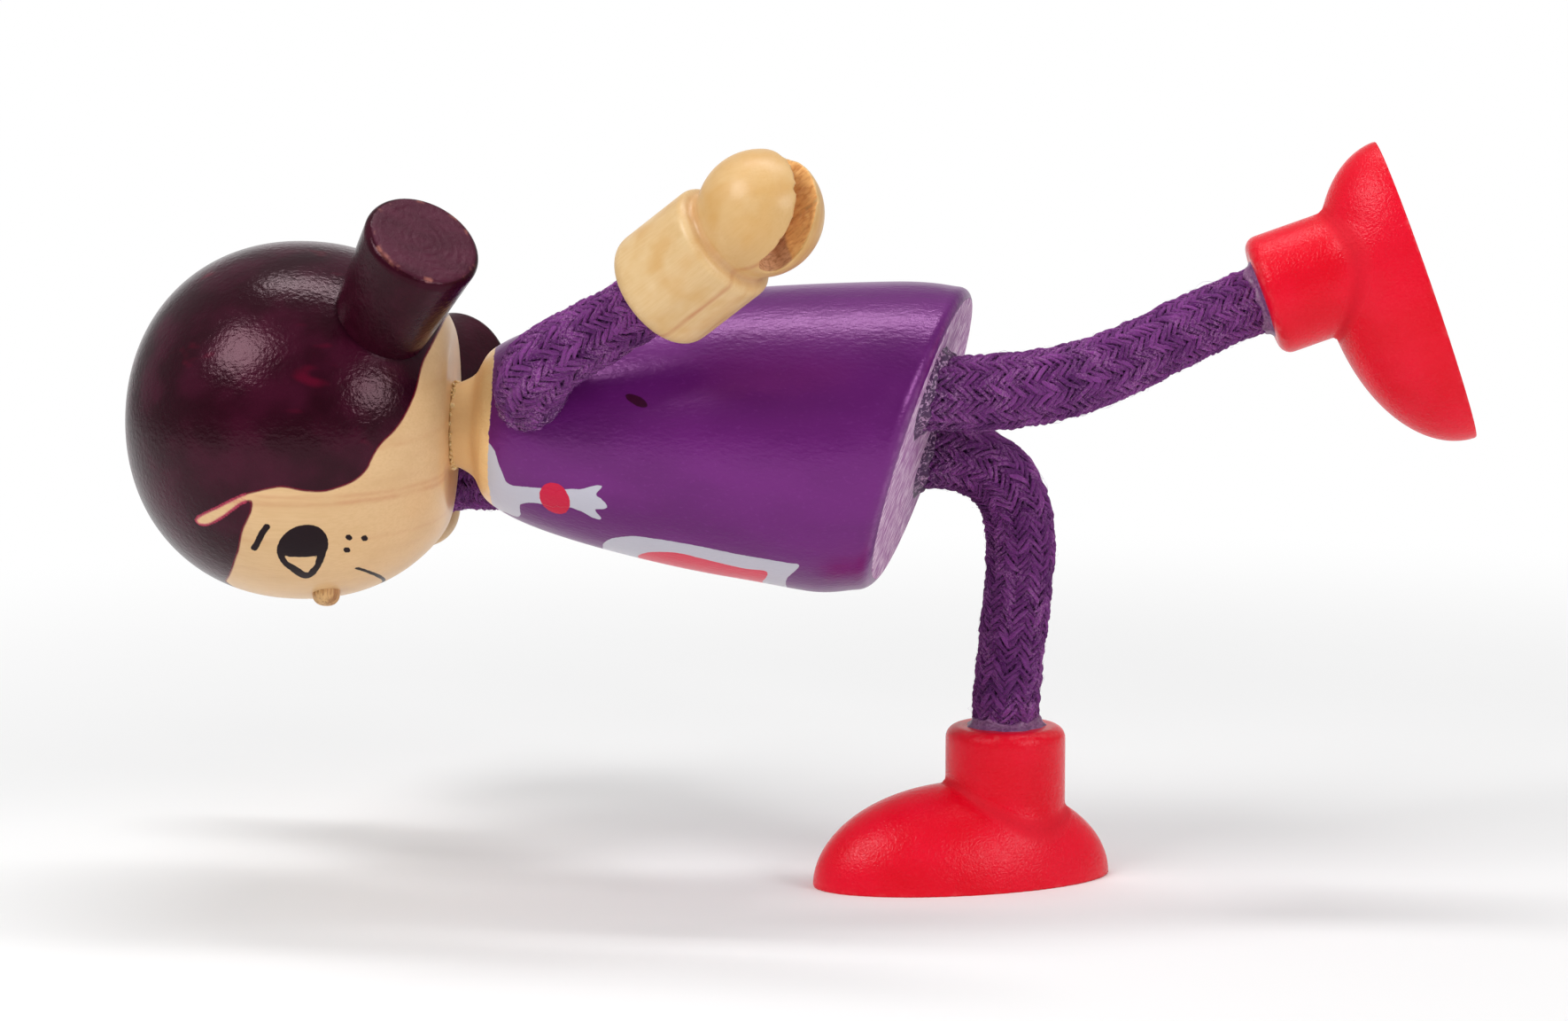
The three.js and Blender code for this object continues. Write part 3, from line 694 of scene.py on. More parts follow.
def cord_finish():
    f = Finish("cotton_cord")
    colour = f.mix(f.attribute("tone"), (84, 29, 92), (134, 64, 140))
    frayed = f.step(f.noise(2.6, detail=3), 0.42, 0.64, 0.25, 1)
    light = f.step(f.noise(0.2, detail=2), 0.48, 0.62, 0, 0.85)
    colour = f.mix(f.times(light, frayed), colour, (192, 132, 190))
    colour = f.mottle(colour, (58, 18, 72), 3.4, 0.48, 0.72, 0.45)
    colour = f.mottle(colour, (58, 14, 70), 0.2, 0.5, 0.7, 0.6)
    # Painted shade: the cord is darker in the braid's crevices, under the plies and on the core
    colour = f.mix(f.step(f.attribute("depth"), 0.0, 0.66, 0.85, 0), colour, (42, 10, 52))
    colour = f.mix(f.step(f.attribute("fuzz"), 0, 1, 0, 0.7), colour, (170, 108, 176))
    glue = f.times(f.attribute("glue"), f.step(f.noise(0.7, detail=3), 0.42, 0.62))
    wisps = f.step(f.noise(0.45, detail=4, distortion=1.5), 0.5, 0.64)
    colour = f.mix(glue, colour, f.mix(wisps, (76, 32, 86), (186, 142, 186)))
    f.set(Base_Color=colour, Roughness=f.step(glue, 0, 1, 0.85, 0.4))
    f.set(Specular_IOR_Level=0.2, Specular_Tint=(1.0, 0.55, 1.0, 1.0))
    f.set(Sheen_Weight=0.12, Sheen_Roughness=0.5, Sheen_Tint=(0.75, 0.35, 0.8, 1.0))
    f.bump((f.maths("SINE", f.attribute("twist")), 0.035), (f.noise(0.12, detail=2), 0.03))
    return f.material


def glue_finish(name, thin, thick, roughness, web=(0.3, 0.7)):
    f = Finish(name)
    share = f.step(f.noise(0.45, detail=4, distortion=1.2), *web)
    colour = f.mix(share, thin, thick)
    f.set(Base_Color=colour, Roughness=roughness, Specular_IOR_Level=0.5, Subsurface_Weight=0.15)
    f.set(Subsurface_Radius=(0.0004, 0.0003, 0.0004), Subsurface_Scale=1.0)
    f.bump((f.noise(0.5, detail=3), 0.06))
    return f.material


def dowel_finish():
    f = Finish("dowel_wood", own_frame=False)
    colour, grain = wood_colour(f, (228, 198, 148), (206, 168, 112), (176, 130, 80))
    f.set(Base_Color=colour, Roughness=0.7)
    f.bump((grain, 0.03))
    return f.material


# Head

def head_outline():
    start = math.asin((HEAD_FLAT_DROP / HEAD_CROWN) ** (HEAD_FULLNESS / 2))
    t = np.linspace(-start, math.pi / 2, 500)
    r = HEAD_RADIUS * np.abs(np.cos(t)) ** (2 / HEAD_FULLNESS)
    z = HEAD_CROWN * np.sign(t) * np.abs(np.sin(t)) ** (2 / HEAD_FULLNESS)
    r[-1] = 0
    edge = r[0]
    ball = np.column_stack([r, z])[z > -HEAD_FLAT_DROP + HEAD_FLAT_ROUNDING * 0.8]
    a = np.array([edge - HEAD_FLAT_ROUNDING, -HEAD_FLAT_DROP])
    b = np.array([edge, -HEAD_FLAT_DROP])
    s = np.linspace(0, 1, 8, endpoint=False)[:, None]
    rounding = (1 - s) ** 2 * a + 2 * s * (1 - s) * b + s**2 * ball[0]
    return np.vstack([[0, -HEAD_FLAT_DROP], rounding, ball])


# Lines of the face and hair as degrees from the front and heights from the head's middle
HAIRLINE = [
    (180, -13.6), (140.9, -13.51), (118.8, -13.02), (102.9, -12.3), (89.1, -11.87),
    (79.2, -11.13), (72.5, -10.23), (67, -8.95), (61.5, -8.15), (59.2, -7.9), (56.3, -7.2),
    (54.4, -6.33), (53.3, -5.37), (52.2, -3.95), (52.6, -2.17), (53.8, -0.38), (53.2, 0.9),
    (51.5, 2.47),
]
PARTING = [
    (50.4, 3.31), (48.5, 4.26), (46.1, 5.23), (43.4, 6.22), (40.5, 7.22), (37.7, 7.97),
    (35.6, 8.29), (34.4, 8.07), (34.7, 7.62), (35.7, 7.08), (38.2, 6.3), (41.7, 5.29),
    (44.6, 4.49), (46.9, 3.81), (48, 3.25),
]
FRINGE = [
    (48.4, 2.82), (48, 2.7), (46.6, 2.7), (43.6, 2.92), (37.9, 3.62), (34.4, 3.91),
    (27.8, 4.3), (22.1, 4.76), (13.6, 5.39), (2.4, 6.25), (0, 6.35),
]
EYE = [
    (40.3, -2.41), (38.9, -3.47), (35.5, -4.04), (31.1, -4.15), (26.6, -3.8), (21.8, -3.34),
    (17.6, -2.78), (15.1, -2.26), (14.2, -1.69), (15.3, -1.18), (18.7, -0.53), (21.9, 0.12),
    (25.4, 0.5), (29.1, 0.65), (32.7, 0.43), (36.5, -0.18), (39.3, -1.14),
]
EYE_WHITE = [
    (27.2, -0.06), (26.6, -0.5), (26.5, -1.08), (26.4, -2.17), (26.6, -2.75), (26.5, -3.04),
    (24.4, -2.88), (22.1, -2.71), (19.6, -2.23), (17.9, -1.94), (18.9, -1.64), (22, -0.98),
    (24.3, -0.3),
]
BROW = [(39.4, 1.36), (36.5, 1.87), (32.4, 2.37), (29.3, 2.81)]
BROW_WIDTH = 0.62
MOUTH = [
    (15.8, -6.44), (13.5, -6.92), (9.2, -7.54), (4, -8.04), (-3, -8.35), (-10, -8.3),
    (-17, -7.8), (-22, -7),
]
MOUTH_WIDTH = 0.38
BARE_FACE = [(-10, 6.35), (-10, -17), (190, -17), (190, -13.6)]  # beyond the ends of the hairline
FRECKLES = [(33.1, -6.06), (27.4, -5.78), (31, -7.44)]
FRECKLE_WIDTH = 0.56
FRECKLE_REACH = (0.5, 0.06)  # degrees, mm
FOOT_SHADE = 0.6  # how far round a pigtail's foot the hair is painted darker, as contact shade
END_RIM = (0.25, 0.05)  # where a pigtail's worn rim is, out from its flat end and down from it
END_RIM_WIDTH = 0.24


def hair_distance(points, outline, side):
    """Distance in from the edge of the hair on one side of the head, and to the parting"""
    near = side == "left"
    line = spline(HAIRLINE + (PARTING if near else []) + FRINGE, 5)
    parting = wrapped(outline, PARTING if near else [(180, 0), (180, 0.1)])
    away = distance(points, wrapped(outline, line))
    bare = inside(points, np.vstack([line, BARE_FACE]))
    return np.where(bare, -away, away), distance(points, parting)


def ink_distance(points, outline):
    """Distance in from the edge of what is drawn alike on both halves of the face"""
    eye = patch(points, outline, spline(EYE, closed=True))
    white = patch(points, outline, spline(EYE_WHITE, 4, closed=True))
    ink = np.minimum(eye, -white)
    ink = np.maximum(ink, stroke(points, outline, BROW, BROW_WIDTH))
    for spot in FRECKLES:
        dot = np.add([np.negative(FRECKLE_REACH), FRECKLE_REACH], spot)
        ink = np.maximum(ink, stroke(points, outline, dot, FRECKLE_WIDTH))
    return ink


def make_head():
    outline = head_outline()
    mesh = turned("head_ball", evenly(outline, 0.25), 432)
    points = points_of(mesh)
    folded = np.column_stack([np.abs(points[:, 0]), points[:, 1:]])
    side = outline[1:]
    hair_left, parting = hair_distance(folded, side, "left")
    hair_right, _ = hair_distance(folded, side, "right")
    left = points[:, 0] > 0
    store(mesh, "hair", np.where(left, hair_left, hair_right))
    store(mesh, "parting", np.where(left, parting, 9.0))
    # Nearness to a pigtail's foot, where the finish paints contact shade
    aim = unit(np.array(PIGTAIL_AIM))
    off = lengths(np.cross(folded - PIGTAIL_BASE, aim)) - PIGTAIL_BASE_RADIUS
    store(mesh, "foot", np.where(folded @ aim > 0, fade(off, FOOT_SHADE), 0))
    mouth = stroke(points, side, MOUTH, MOUTH_WIDTH)
    store(mesh, "ink", np.maximum(ink_distance(folded, side), mouth))
    made = piece("head_turning", mesh, HEAD, head_finish())
    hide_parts("head")
    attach(made, "torso")


def make_nose():
    end = corner(NOSE_RADIUS - NOSE_ROUNDING, NOSE_OUT - NOSE_ROUNDING, NOSE_ROUNDING, 0, 90)
    outline = np.vstack([[(0, -NOSE_SINK), (NOSE_RADIUS, -NOSE_SINK)], end, [(0, NOSE_OUT)]])
    mesh = turned("nose", evenly(outline, 0.1), 48)
    face = HEAD_RADIUS * (1 - (NOSE_DROP / HEAD_CROWN) ** HEAD_FULLNESS) ** (1 / HEAD_FULLNESS)
    place = HEAD @ stood((0, -face, -NOSE_DROP), (0, -1, 0))
    made = piece("nose_end", mesh, place, nose_finish())
    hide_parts("nose_peg")
    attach(made, "torso")


def make_pigtail(name, side, material):
    inner = PIGTAIL_END_RADIUS - PIGTAIL_ROUNDING
    end = corner(inner, PIGTAIL_LENGTH - PIGTAIL_ROUNDING, PIGTAIL_ROUNDING, 0, 90)
    start = [(0, -PIGTAIL_SINK), (PIGTAIL_BASE_RADIUS, -PIGTAIL_SINK)]
    outline = np.vstack([start, end, [(0, PIGTAIL_LENGTH)]])
    mesh = turned(name, evenly(outline, 0.2), 128)
    points = points_of(mesh)
    radius = np.hypot(points[:, 0], points[:, 1])
    off = np.hypot(radius - inner - END_RIM[0], points[:, 2] - PIGTAIL_LENGTH + END_RIM[1])
    store(mesh, "rim", np.clip(1.4 - off / END_RIM_WIDTH, 0, 1))
    store(mesh, "end", (points[:, 2] > PIGTAIL_LENGTH - 0.06).astype(float))
    x, y, z = PIGTAIL_BASE
    aim = Vector(PIGTAIL_AIM)
    aim.x *= side
    place = HEAD @ stood((side * x, y, z), aim)
    made = piece(name + "_turning", mesh, place, material)
    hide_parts(name)
    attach(made, "torso")


# Body

def body_outline():
    bottom = corner(HEM_INNER, HEM_ROUNDING, HEM_ROUNDING, -90, 0)
    side = spline([(HEM_INNER + HEM_ROUNDING, HEM_ROUNDING), *BODY_WIDTHS], 14)[1:]
    top = NECK_HEIGHT + FIT_GAP
    return np.vstack([[(0, 0)], bottom, side, [(NECK_RADIUS, top), (0, top)]])


def hem_drop(back, height):
    """Height of the slanted hem below a level one"""
    t = np.clip((height - HEM_ROUNDING) / (HEM_SLANT_FADE - HEM_ROUNDING), 0, 1)
    return back * math.tan(HEM_SLANT * DEG) * (1 - t * t * (3 - 2 * t))


# A painted neckerchief with a knot and a notched tail, a pocket and a spot, as degrees from
# the front and heights above the hem
NECKLINE = 40.6
COLLAR = [
    (58, 41.6), (57.1, 40.85), (51.7, 40.06), (45.3, 39.74), (36.7, 39.27), (29.6, 38.7),
    (31, 37.2), (33, 35.5), (33, 34.2), (22, 34.2), (21.4, 35.7), (18.8, 36.9), (14.8, 37.6),
    (11.2, 37.7), (0.7, 37.76), (-6, 38.3), (-9.5, 39.4), (-20, 39.9), (-34, 40.4), (-46, 41.6),
]
TAIL = [
    (32.5, 34), (36, 32.8), (37.1, 31.7), (40.3, 30.4), (40.4, 29.7), (35.4, 30.3),
    (33.6, 29.8), (29.7, 29.2), (27.6, 29.6), (26.2, 30.4), (21, 29.8), (20.2, 30.5),
    (23.1, 31.75), (24.2, 32.84), (23, 34),
]
KNOT = (27.4, 34.24)
KNOT_HALF = (10.7, 1.47)  # half its width in degrees and half its height
SPOT = (81.2, 26.61)
SPOT_HALF = (3.2, 0.75)
SPOT_LEAN = 0.75  # mm that its end on the doll's left is higher than its middle
POCKET_MIDDLE = -14.0
POCKET_EDGE = [
    (8.6, 29.9), (19, 29.15), (25.2, 27.6), (27.9, 25.9), (28.9, 21.1), (27.1, 16.4),
    (26.8, 10.2), (26, 8.2), (14, 10.2), (0, 10.5),
]
POCKET_LINING = [
    (0, 26.6), (7.5, 26.4), (14.2, 25.5), (18.5, 24), (20.3, 22.5), (19.6, 20.8),
    (16.3, 16.4), (16.6, 13.3), (0, 14.2),
]
HEM_FACE_OUT = 0.55  # how far the hem's bare face reaches beyond its flat part
HEM_BAND = 0.4  # how far the worn paint and painted sheen of the hem's edge reach


def oval(middle, half, lean=0.0):
    t = once_round(32)
    return np.column_stack([
        middle[0] + half[0] * np.cos(t),
        middle[1] + half[1] * np.sin(t) + lean * np.cos(t),
    ])


def mirrored(line, middle):
    """Line of offsets from a middle angle, with its mirror image"""
    line = np.array(line, float)
    twin = line[::-1] * (-1, 1)
    keep = twin[:, 0] < -0.01
    return np.vstack([line, twin[keep]]) + (middle, 0)


def make_body():
    outline = body_outline()
    mesh = turned("body", evenly(outline, 0.25), 384)
    points = points_of(mesh)
    side = outline[1:-2]
    x, y, z = points.T
    radius = np.hypot(x, y)
    store(mesh, "neck", z - NECKLINE - 0.12 * np.sin(np.radians(around(points) * 3)))
    pocket = [mirrored(line, POCKET_MIDDLE) for line in (POCKET_EDGE, POCKET_LINING)]
    lines = [spline(line, 5, closed=True) for line in (COLLAR, TAIL, *pocket)]
    *cloths, lining = (patch(points, side, line) for line in lines)
    store(mesh, "cloth", np.max(cloths, axis=0))
    store(mesh, "pocket", lining)
    store(mesh, "knot", patch(points, side, oval(KNOT, KNOT_HALF)))
    store(mesh, "spot", patch(points, side, oval(SPOT, SPOT_HALF, SPOT_LEAN)))
    store(mesh, "hem_face", HEM_INNER + HEM_FACE_OUT - radius - 1.6 * z)
    off = np.hypot(radius - HEM_INNER - HEM_ROUNDING * 0.55, z - HEM_ROUNDING * 0.35)
    store(mesh, "hem_rim", fade(off, HEM_BAND))
    points[:, 2] -= hem_drop(y, z)
    move_points(mesh, points)
    made = piece("body_turning", mesh, FIGURE, body_finish())
    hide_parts("torso")
    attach(made, "torso")


# Hands

def hand_outline():
    mouth = corner(SLEEVE_RADIUS - SLEEVE_ROUNDING, SLEEVE_ROUNDING, SLEEVE_ROUNDING, -90, 0)
    edge = corner(SLEEVE_RADIUS - SLEEVE_EDGE, SLEEVE_LENGTH - SLEEVE_EDGE, SLEEVE_EDGE, 0, 75)
    start = math.degrees(math.asin(GROOVE_RADIUS / BALL_RADIUS)) - 90
    ball = corner(0, BALL_CENTRE, BALL_RADIUS, start, 90, 60)
    ball[-1, 0] = 0
    return np.vstack([[(0, 0)], mouth, edge, [(GROOVE_RADIUS, SLEEVE_LENGTH + 0.15)], ball])


def slot_cutter():
    """Round-bottomed bar along X, with slightly uneven sides"""
    half = SLOT_WIDTH / 2
    floor = BALL_CENTRE - SLOT_FLOOR
    top = BALL_CENTRE + BALL_RADIUS + 2
    reach = BALL_RADIUS + 2
    bottom = corner(0, floor + half, half, 180, 360, 16)
    section = evenly(np.vstack([[(half, top)], [(-half, top)], bottom, [(half, top)]]), 0.4)[:-1]
    rows = np.arange(-reach, reach + 0.1, 0.4)
    points = np.array([[(x, y, z) for y, z in section] for x in rows])
    uneven = rng.normal(0, 0.045, points.shape[:2])
    chipped = np.sign(points[..., 1]) * rng.gamma(0.7, 0.08, (len(rows), 1))
    points[..., 1] += uneven + chipped
    n = len(section)
    ends = [list(range(n))[::-1], list(range((len(rows) - 1) * n, len(rows) * n))]
    return faced(mesh_of("slot", points.reshape(-1, 3), tube_faces(1, len(rows), n) + ends))


SLOT_GRAIN_AND_SHADE = 1.1  # how far above the ball's middle the darker end grain and painted shade of the slot reach
GROOVE_BAND = 0.8  # how far from the groove's foot the wood is coloured darker


def make_hand(side, material):
    blank = turned("hand", evenly(hand_outline(), 0.25), 160)
    mesh = blended("hand", blank, slot_cutter(), "DIFFERENCE", voxel=0.14, passes=3)
    points = points_of(mesh)
    x, y, z = points.T
    within = SLOT_WIDTH / 2 - 0.02 - np.abs(y)
    ball = BALL_RADIUS - lengths(points - (0, 0, BALL_CENTRE))
    cut = np.minimum(ball - 0.12, z - BALL_CENTRE + SLOT_FLOOR + 0.25)
    bare = np.minimum(cut, np.maximum(within + 0.3, 0.16 - np.abs(within)))
    store(mesh, "slot", np.where(z > SLEEVE_LENGTH + 0.9, bare, -1))
    store(mesh, "slot_floor", np.clip((BALL_CENTRE + SLOT_GRAIN_AND_SHADE - z) / 0.3, 0, 1))
    off = np.hypot(np.hypot(x, y) - GROOVE_RADIUS, z - SLEEVE_LENGTH - 0.4)
    store(mesh, "groove", fade(off, GROOVE_BAND))
    made = piece(side + "_hand_turning", mesh, HANDS[side], material)
    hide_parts(side + "_hand")
    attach(made, side + "_forearm")


# Shoes

SHOE_HALF = np.array((SHOE_LENGTH / 2, SHOE_WIDTH / 2, SHOE_HEIGHT))
EDGE_BAND = 0.5  # how far worn paint reaches from the sole's and the cuff's edges
CUFF_EDGE = (0.8, 0.4)  # where the cuff's worn edge is, out from its flat top and down from it
SOLE_BAND = 0.1  # height up to which the sole's paint is dull
CREASE_WIDTH = 0.8
CREASE_FILL = (0.5, 2.0)  # reach of the filler in the crease, at the ends and at the sides


def crease_fill(points, off, from_dome, from_cuff):
    """How far soft filler moves each point outward, near where the cuff meets the dome"""
    out = unit(points / SHOE_HALF**2)
    out[:, :2] += (points[:, :2] - (CUFF_SETBACK, 0)) / np.maximum(off, 0.1)[:, None]
    out /= np.maximum(lengths(out), 0.3)[:, None]
    sideways = (points[:, 1] / np.maximum(off, 0.1)) ** 2
    reach = CREASE_FILL[0] + (CREASE_FILL[1] - CREASE_FILL[0]) * sideways
    fill = reach / 4 * fade(np.abs(from_dome - from_cuff), reach) ** 2
    fill *= fade(-np.minimum(from_dome, from_cuff), 0.3)
    return fill[:, None] * out


def make_shoe(side, material):
    dome = np.vstack([[(0, 0)], corner(0, 0, 1, 0, 90, 60)])
    dome[-1, 0] = 0
    shell = turned("dome", evenly(dome, 0.02), 200)
    move_points(shell, points_of(shell) * SHOE_HALF)
    inner = CUFF_RADIUS - CUFF_ROUNDING
    top = corner(inner, CUFF_TOP - CUFF_ROUNDING, CUFF_ROUNDING, 0, 90)
    line = np.vstack([[(0, CUFF_FOOT), (CUFF_RADIUS, CUFF_FOOT)], top, [(0, CUFF_TOP)]])
    cuff = turned("cuff", evenly(line, 0.3), 128)
    move_points(cuff, points_of(cuff) + (CUFF_SETBACK, 0, 0))
    mesh = blended("shoe", shell, cuff, "UNION", voxel=0.15, passes=2)
    points = points_of(mesh)
    height = points[:, 2]
    beyond = lengths(points[:, :2] / SHOE_HALF[:2])
    edge = np.hypot((1 - beyond) * SHOE_WIDTH / 2, height)
    off = np.hypot(points[:, 0] - CUFF_SETBACK, points[:, 1])
    rim = np.hypot(off - inner - CUFF_EDGE[0], height - CUFF_TOP + CUFF_EDGE[1])
    store(mesh, "edge", fade(np.minimum(edge, rim), EDGE_BAND))
    from_dome = (lengths(points / SHOE_HALF) - 1) * SHOE_HEIGHT
    from_cuff = off - CUFF_RADIUS
    # Nearness to the crease, which the finish paints darker as shade and dulls
    store(mesh, "crease", fade(np.hypot(from_dome, from_cuff), CREASE_WIDTH))
    store(mesh, "sole", fade(height, SOLE_BAND))
    move_points(mesh, points + crease_fill(points, off, from_dome, from_cuff))
    made = piece(side + "_shoe_shell", mesh, SHOES[side], material)
    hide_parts(side + "_shoe")
    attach(made, side + "_shin")


# Cords

class Route:
    """Middle line of a cord. Places on it are counted from the mouth of its socket."""

    def __init__(self, mouth, leave, sleeve, arrive, reach):
        a, d = np.array(mouth), np.array(sleeve)
        b = a + np.array(leave) * reach[0]
        c = d - np.array(arrive) * reach[1]
        t = np.linspace(0, 1, 600)[:, None]
        bend = (1 - t) ** 3 * a + 3 * t * (1 - t) ** 2 * b + 3 * t * t * (1 - t) * c + t**3 * d
        run = run_of(bend)
        self.length = run[-1]
        places = np.arange(-ROUTE_OVER, self.length + ROUTE_OVER, 0.1)
        line = looked_up(places, run, bend)
        line += np.minimum(places, 0)[:, None] * np.array(leave)
        line += np.maximum(places - self.length, 0)[:, None] * np.array(arrive)
        self.places, self.line = places, line
        self.along = unit(np.gradient(line, axis=0))
        side = np.cross(self.along[0], (0.3, 0.2, 0.9))
        sides = []
        for direction in self.along:
            side = unit(side - (side @ direction) * direction)
            sides.append(side)
        self.side = np.array(sides)

    def frames(self, places):
        """Points, directions and two crosswise directions at places"""
        tables = self.line, self.along, self.side
        at, along, side = (looked_up(places, self.places, table) for table in tables)
        along = unit(along)
        side = unit(side - np.sum(side * along, -1)[..., None] * along)
        return at, along, side, np.cross(along, side)

    def on(self, places, angles, radius):
        """Points round the line, and their outward directions"""
        at, along, side, other = self.frames(places)
        out = np.cos(angles)[..., None] * side + np.sin(angles)[..., None] * other
        return at + radius[..., None] * out, out, along


def way(matrix, x, y, z):
    return np.array(matrix.to_3x3() @ Vector((x, y, z)))


def hip_mouth(sign):
    """Frame at the middle of a leg's socket, where it opens in the hem"""
    return FIGURE @ shift(sign * LEG_SPACING / 2, LEG_BACK, -hem_drop(LEG_BACK, 0.0))


def cuff_mouth(side):
    return SHOES[side] @ shift(CUFF_SETBACK, 0, CUFF_TOP)


def leg_route(side, sign, reach):
    mouth, sleeve = hip_mouth(sign).translation, cuff_mouth(side).translation
    return Route(mouth, way(FIGURE, 0, 0, -1), sleeve, way(SHOES[side], 0, 0, -1), reach)


def arm_route(side, sign, reach):
    mouth = FIGURE @ Vector((sign * SHOULDER_RADIUS, -ARM_FORWARD, SHOULDER_HEIGHT))
    hand = HANDS[side]
    return Route(mouth, way(FIGURE, sign, 0, 0), hand.translation, way(hand, 0, 0, 1), reach)


class Braid:
    """Plies of one cord; radii are pairs of a place and the cord's radius there"""

    def __init__(self, route, radii):
        self.route = route
        self.radii = np.array(radii, float)
        self.lumps = rng.uniform(0, math.tau, 8)
        plies = STRANDS * 4
        self.hand = np.repeat([1, -1], plies // 2)
        ply = np.tile(np.arange(plies // 2), 2)
        offset = (ply // 2 + (ply % 2 - 0.5) * 2 * PLY_SPREAD) / STRANDS
        self.start = offset * math.tau
        self.phase = rng.uniform(0, math.tau, (plies, 6))
        self.tone = rng.uniform(0.1, 0.85, plies)

    def radius(self, places):
        base = np.interp(places, self.radii[:, 0], self.radii[:, 1])
        return base + waves(places, CORD_LUMPS, self.lumps)

    def threads(self, places, angles, radius, wide, thick, turnings):
        """Points at turnings round the middles of threads, which are wide across the cord"""
        centre, out, along = self.route.on(places, angles, radius)
        across = np.cross(along, out)
        return (
            centre[:, :, None]
            + (np.asarray(wide)[..., None] * np.sin(turnings))[..., None] * across[:, :, None]
            + (np.asarray(thick)[..., None] * np.cos(turnings))[..., None] * out[:, :, None]
        )

    def plies(self, places):
        """Vertices and attributes of every ply at a row of places"""
        s = places[None, :]
        p = self.phase[:, :, None]
        hand = self.hand[:, None]
        stray = waves(s, PLY_STRAYS, (p[:, 0], p[:, 1]))
        angle = self.start[:, None] + hand * math.tau * s / BRAID_PITCH + stray
        lanes = np.sin(STRANDS / 2 * angle + math.pi / 4)
        over = hand * np.tanh(2.4 * lanes) / math.tanh(2.4)
        lift = waves(s, PLY_LIFTS, (p[:, 2], p[:, 3]))
        envelope = self.radius(s)
        radius = envelope - PLY_THICKNESS / 2 - BRAID_WAVE + BRAID_WAVE * over + lift
        slope = math.tau * (envelope - 0.4) / BRAID_PITCH
        wide = PLY_WIDTH / 2 * np.sqrt(1 + slope**2) * (1 + waves(s, PLY_SWELLS, [p[:, 4]]))
        turnings = once_round(PLY_SIDES)
        ring = self.threads(s + 0 * angle, angle, radius, wide, PLY_THICKNESS / 2, turnings)
        shape = ring.shape[:3]
        glue = np.clip(1.3 - s / GLUE_REACH[0], 0, 1) + fade(self.route.length - s, GLUE_REACH[1])
        # How far out each point lies, which the finish turns into painted shade
        depth = (over[..., None] * 0.5 + 0.5) * 0.6 + 0.4 * np.cos(turnings)
        twist = (s * math.tau / PLY_TWIST)[..., None] + turnings * hand[..., None]
        tone = self.tone[:, None, None] + waves(s, PLY_TONES, [p[:, 5]])[..., None]
        values = {"depth": depth, "tone": tone, "twist": twist, "glue": glue[..., None]}
        return ring, {key: np.broadcast_to(v, shape).ravel() for key, v in values.items()}

    def core(self, places):
        """Round middle that closes the gaps between the plies; the finish paints it dark, as shade
        """
        s, angles = np.meshgrid(places, once_round(CORE_SIDES), indexing="ij")
        radius = self.radius(s) - PLY_THICKNESS - BRAID_WAVE * 1.1
        return self.route.on(s, angles, radius)[0][None]

    def fibres(self, first, last, count):
        """Loose fibres that stand off the cord, each a thin three-sided thread"""
        u = np.linspace(0, 1, 5)[None]
        s0 = rng.uniform(first, last, (count, 1))
        lean = rng.uniform(0, math.tau, (count, 1))
        length = rng.uniform(0.7, 2.2, (count, 1))
        height = rng.gamma(1.6, 0.075, (count, 1))
        curl = rng.normal(0, 0.35, (count, 1))
        s = np.clip(s0 + length * np.cos(lean + curl * u) * u, first - 0.4, last + 0.4)
        radius = self.radius(s) - 0.12 + height * np.where(curl > 0, np.sin(math.pi * u), u)
        angle = rng.uniform(0, math.tau, (count, 1)) + length * np.sin(lean + curl * u) * u / radius
        thin = rng.uniform(0.01, 0.02, (count, 1)) * (1.05 - u)
        return self.threads(s, angle, radius, thin, thin, math.pi / 2 - once_round(3))


CORE_AND_FIBRES = {  # values of a cord's attributes on its core and on its fibres
    "depth": (0, 1), "tone": (0.3, 0.9), "twist": (0, 0), "glue": (0, 0), "fuzz": (0, 1),
}


def make_cord(name, braid, first, last, material):
    """Piece of a cord between two places along it"""
    places = np.linspace(first, last, int(math.ceil((last - first) / CORD_STEP)) + 1)
    plies, values = braid.plies(places)
    bare_from = max(first, 0)
    threads = braid.fibres(bare_from, last, int((last - bare_from) * FIBRES_PER_MM))
    groups = [plies, braid.core(places), threads]
    points = [group.reshape(-1, 3) for group in groups]
    faces, start = [], 0
    for group in groups:
        faces += tube_faces(*group.shape[:3], start)
        start += group[..., 0].size
    mesh = mesh_of(name, np.vstack(points), faces)
    values["fuzz"] = np.zeros(len(points[0]))
    for key, of_plies in values.items():
        rest = [np.full(len(p), value) for p, value in zip(points[1:], CORE_AND_FIBRES[key])]
        store(mesh, key, np.concatenate([of_plies, *rest]))
    return piece(name, mesh, Matrix.Identity(4), material)


def bend_cord(made, braid, first, last):
    """Cord piece between two bodies, with its placing baked into its mesh"""
    at, along, _, _ = braid.route.frames(np.array([first, last]))
    chord = unit(at[1] - at[0])
    for point, direction, place, sign in zip(at, along, (first, last), (1, -1)):
        tilt = math.sqrt(max(0.0, 1 - (direction @ chord) ** 2))
        (point + sign * chord * tilt * braid.radius(place)) * MM
    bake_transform(made)


def make_limb(side, limb, braid, cuts, bodies, nodes, material):
    """Every piece of one limb, from inside its socket to inside its sleeve"""
    bounds = [-CORD_OVER, *cuts, braid.route.length + CORD_OVER]
    for i, (first, last) in enumerate(zip(bounds[:-1], bounds[1:])):
        part = nodes[i].rsplit("_", 1)[1]
        made = make_cord(f"{side}_{limb}_cord_{part}", braid, first, last, material)
        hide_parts(nodes[i])
        if i + 1 < len(bodies):
            bend_cord(made, braid, max(first, 0.0), last)
        else:
            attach(made, bodies[i])
    return made


# Glue

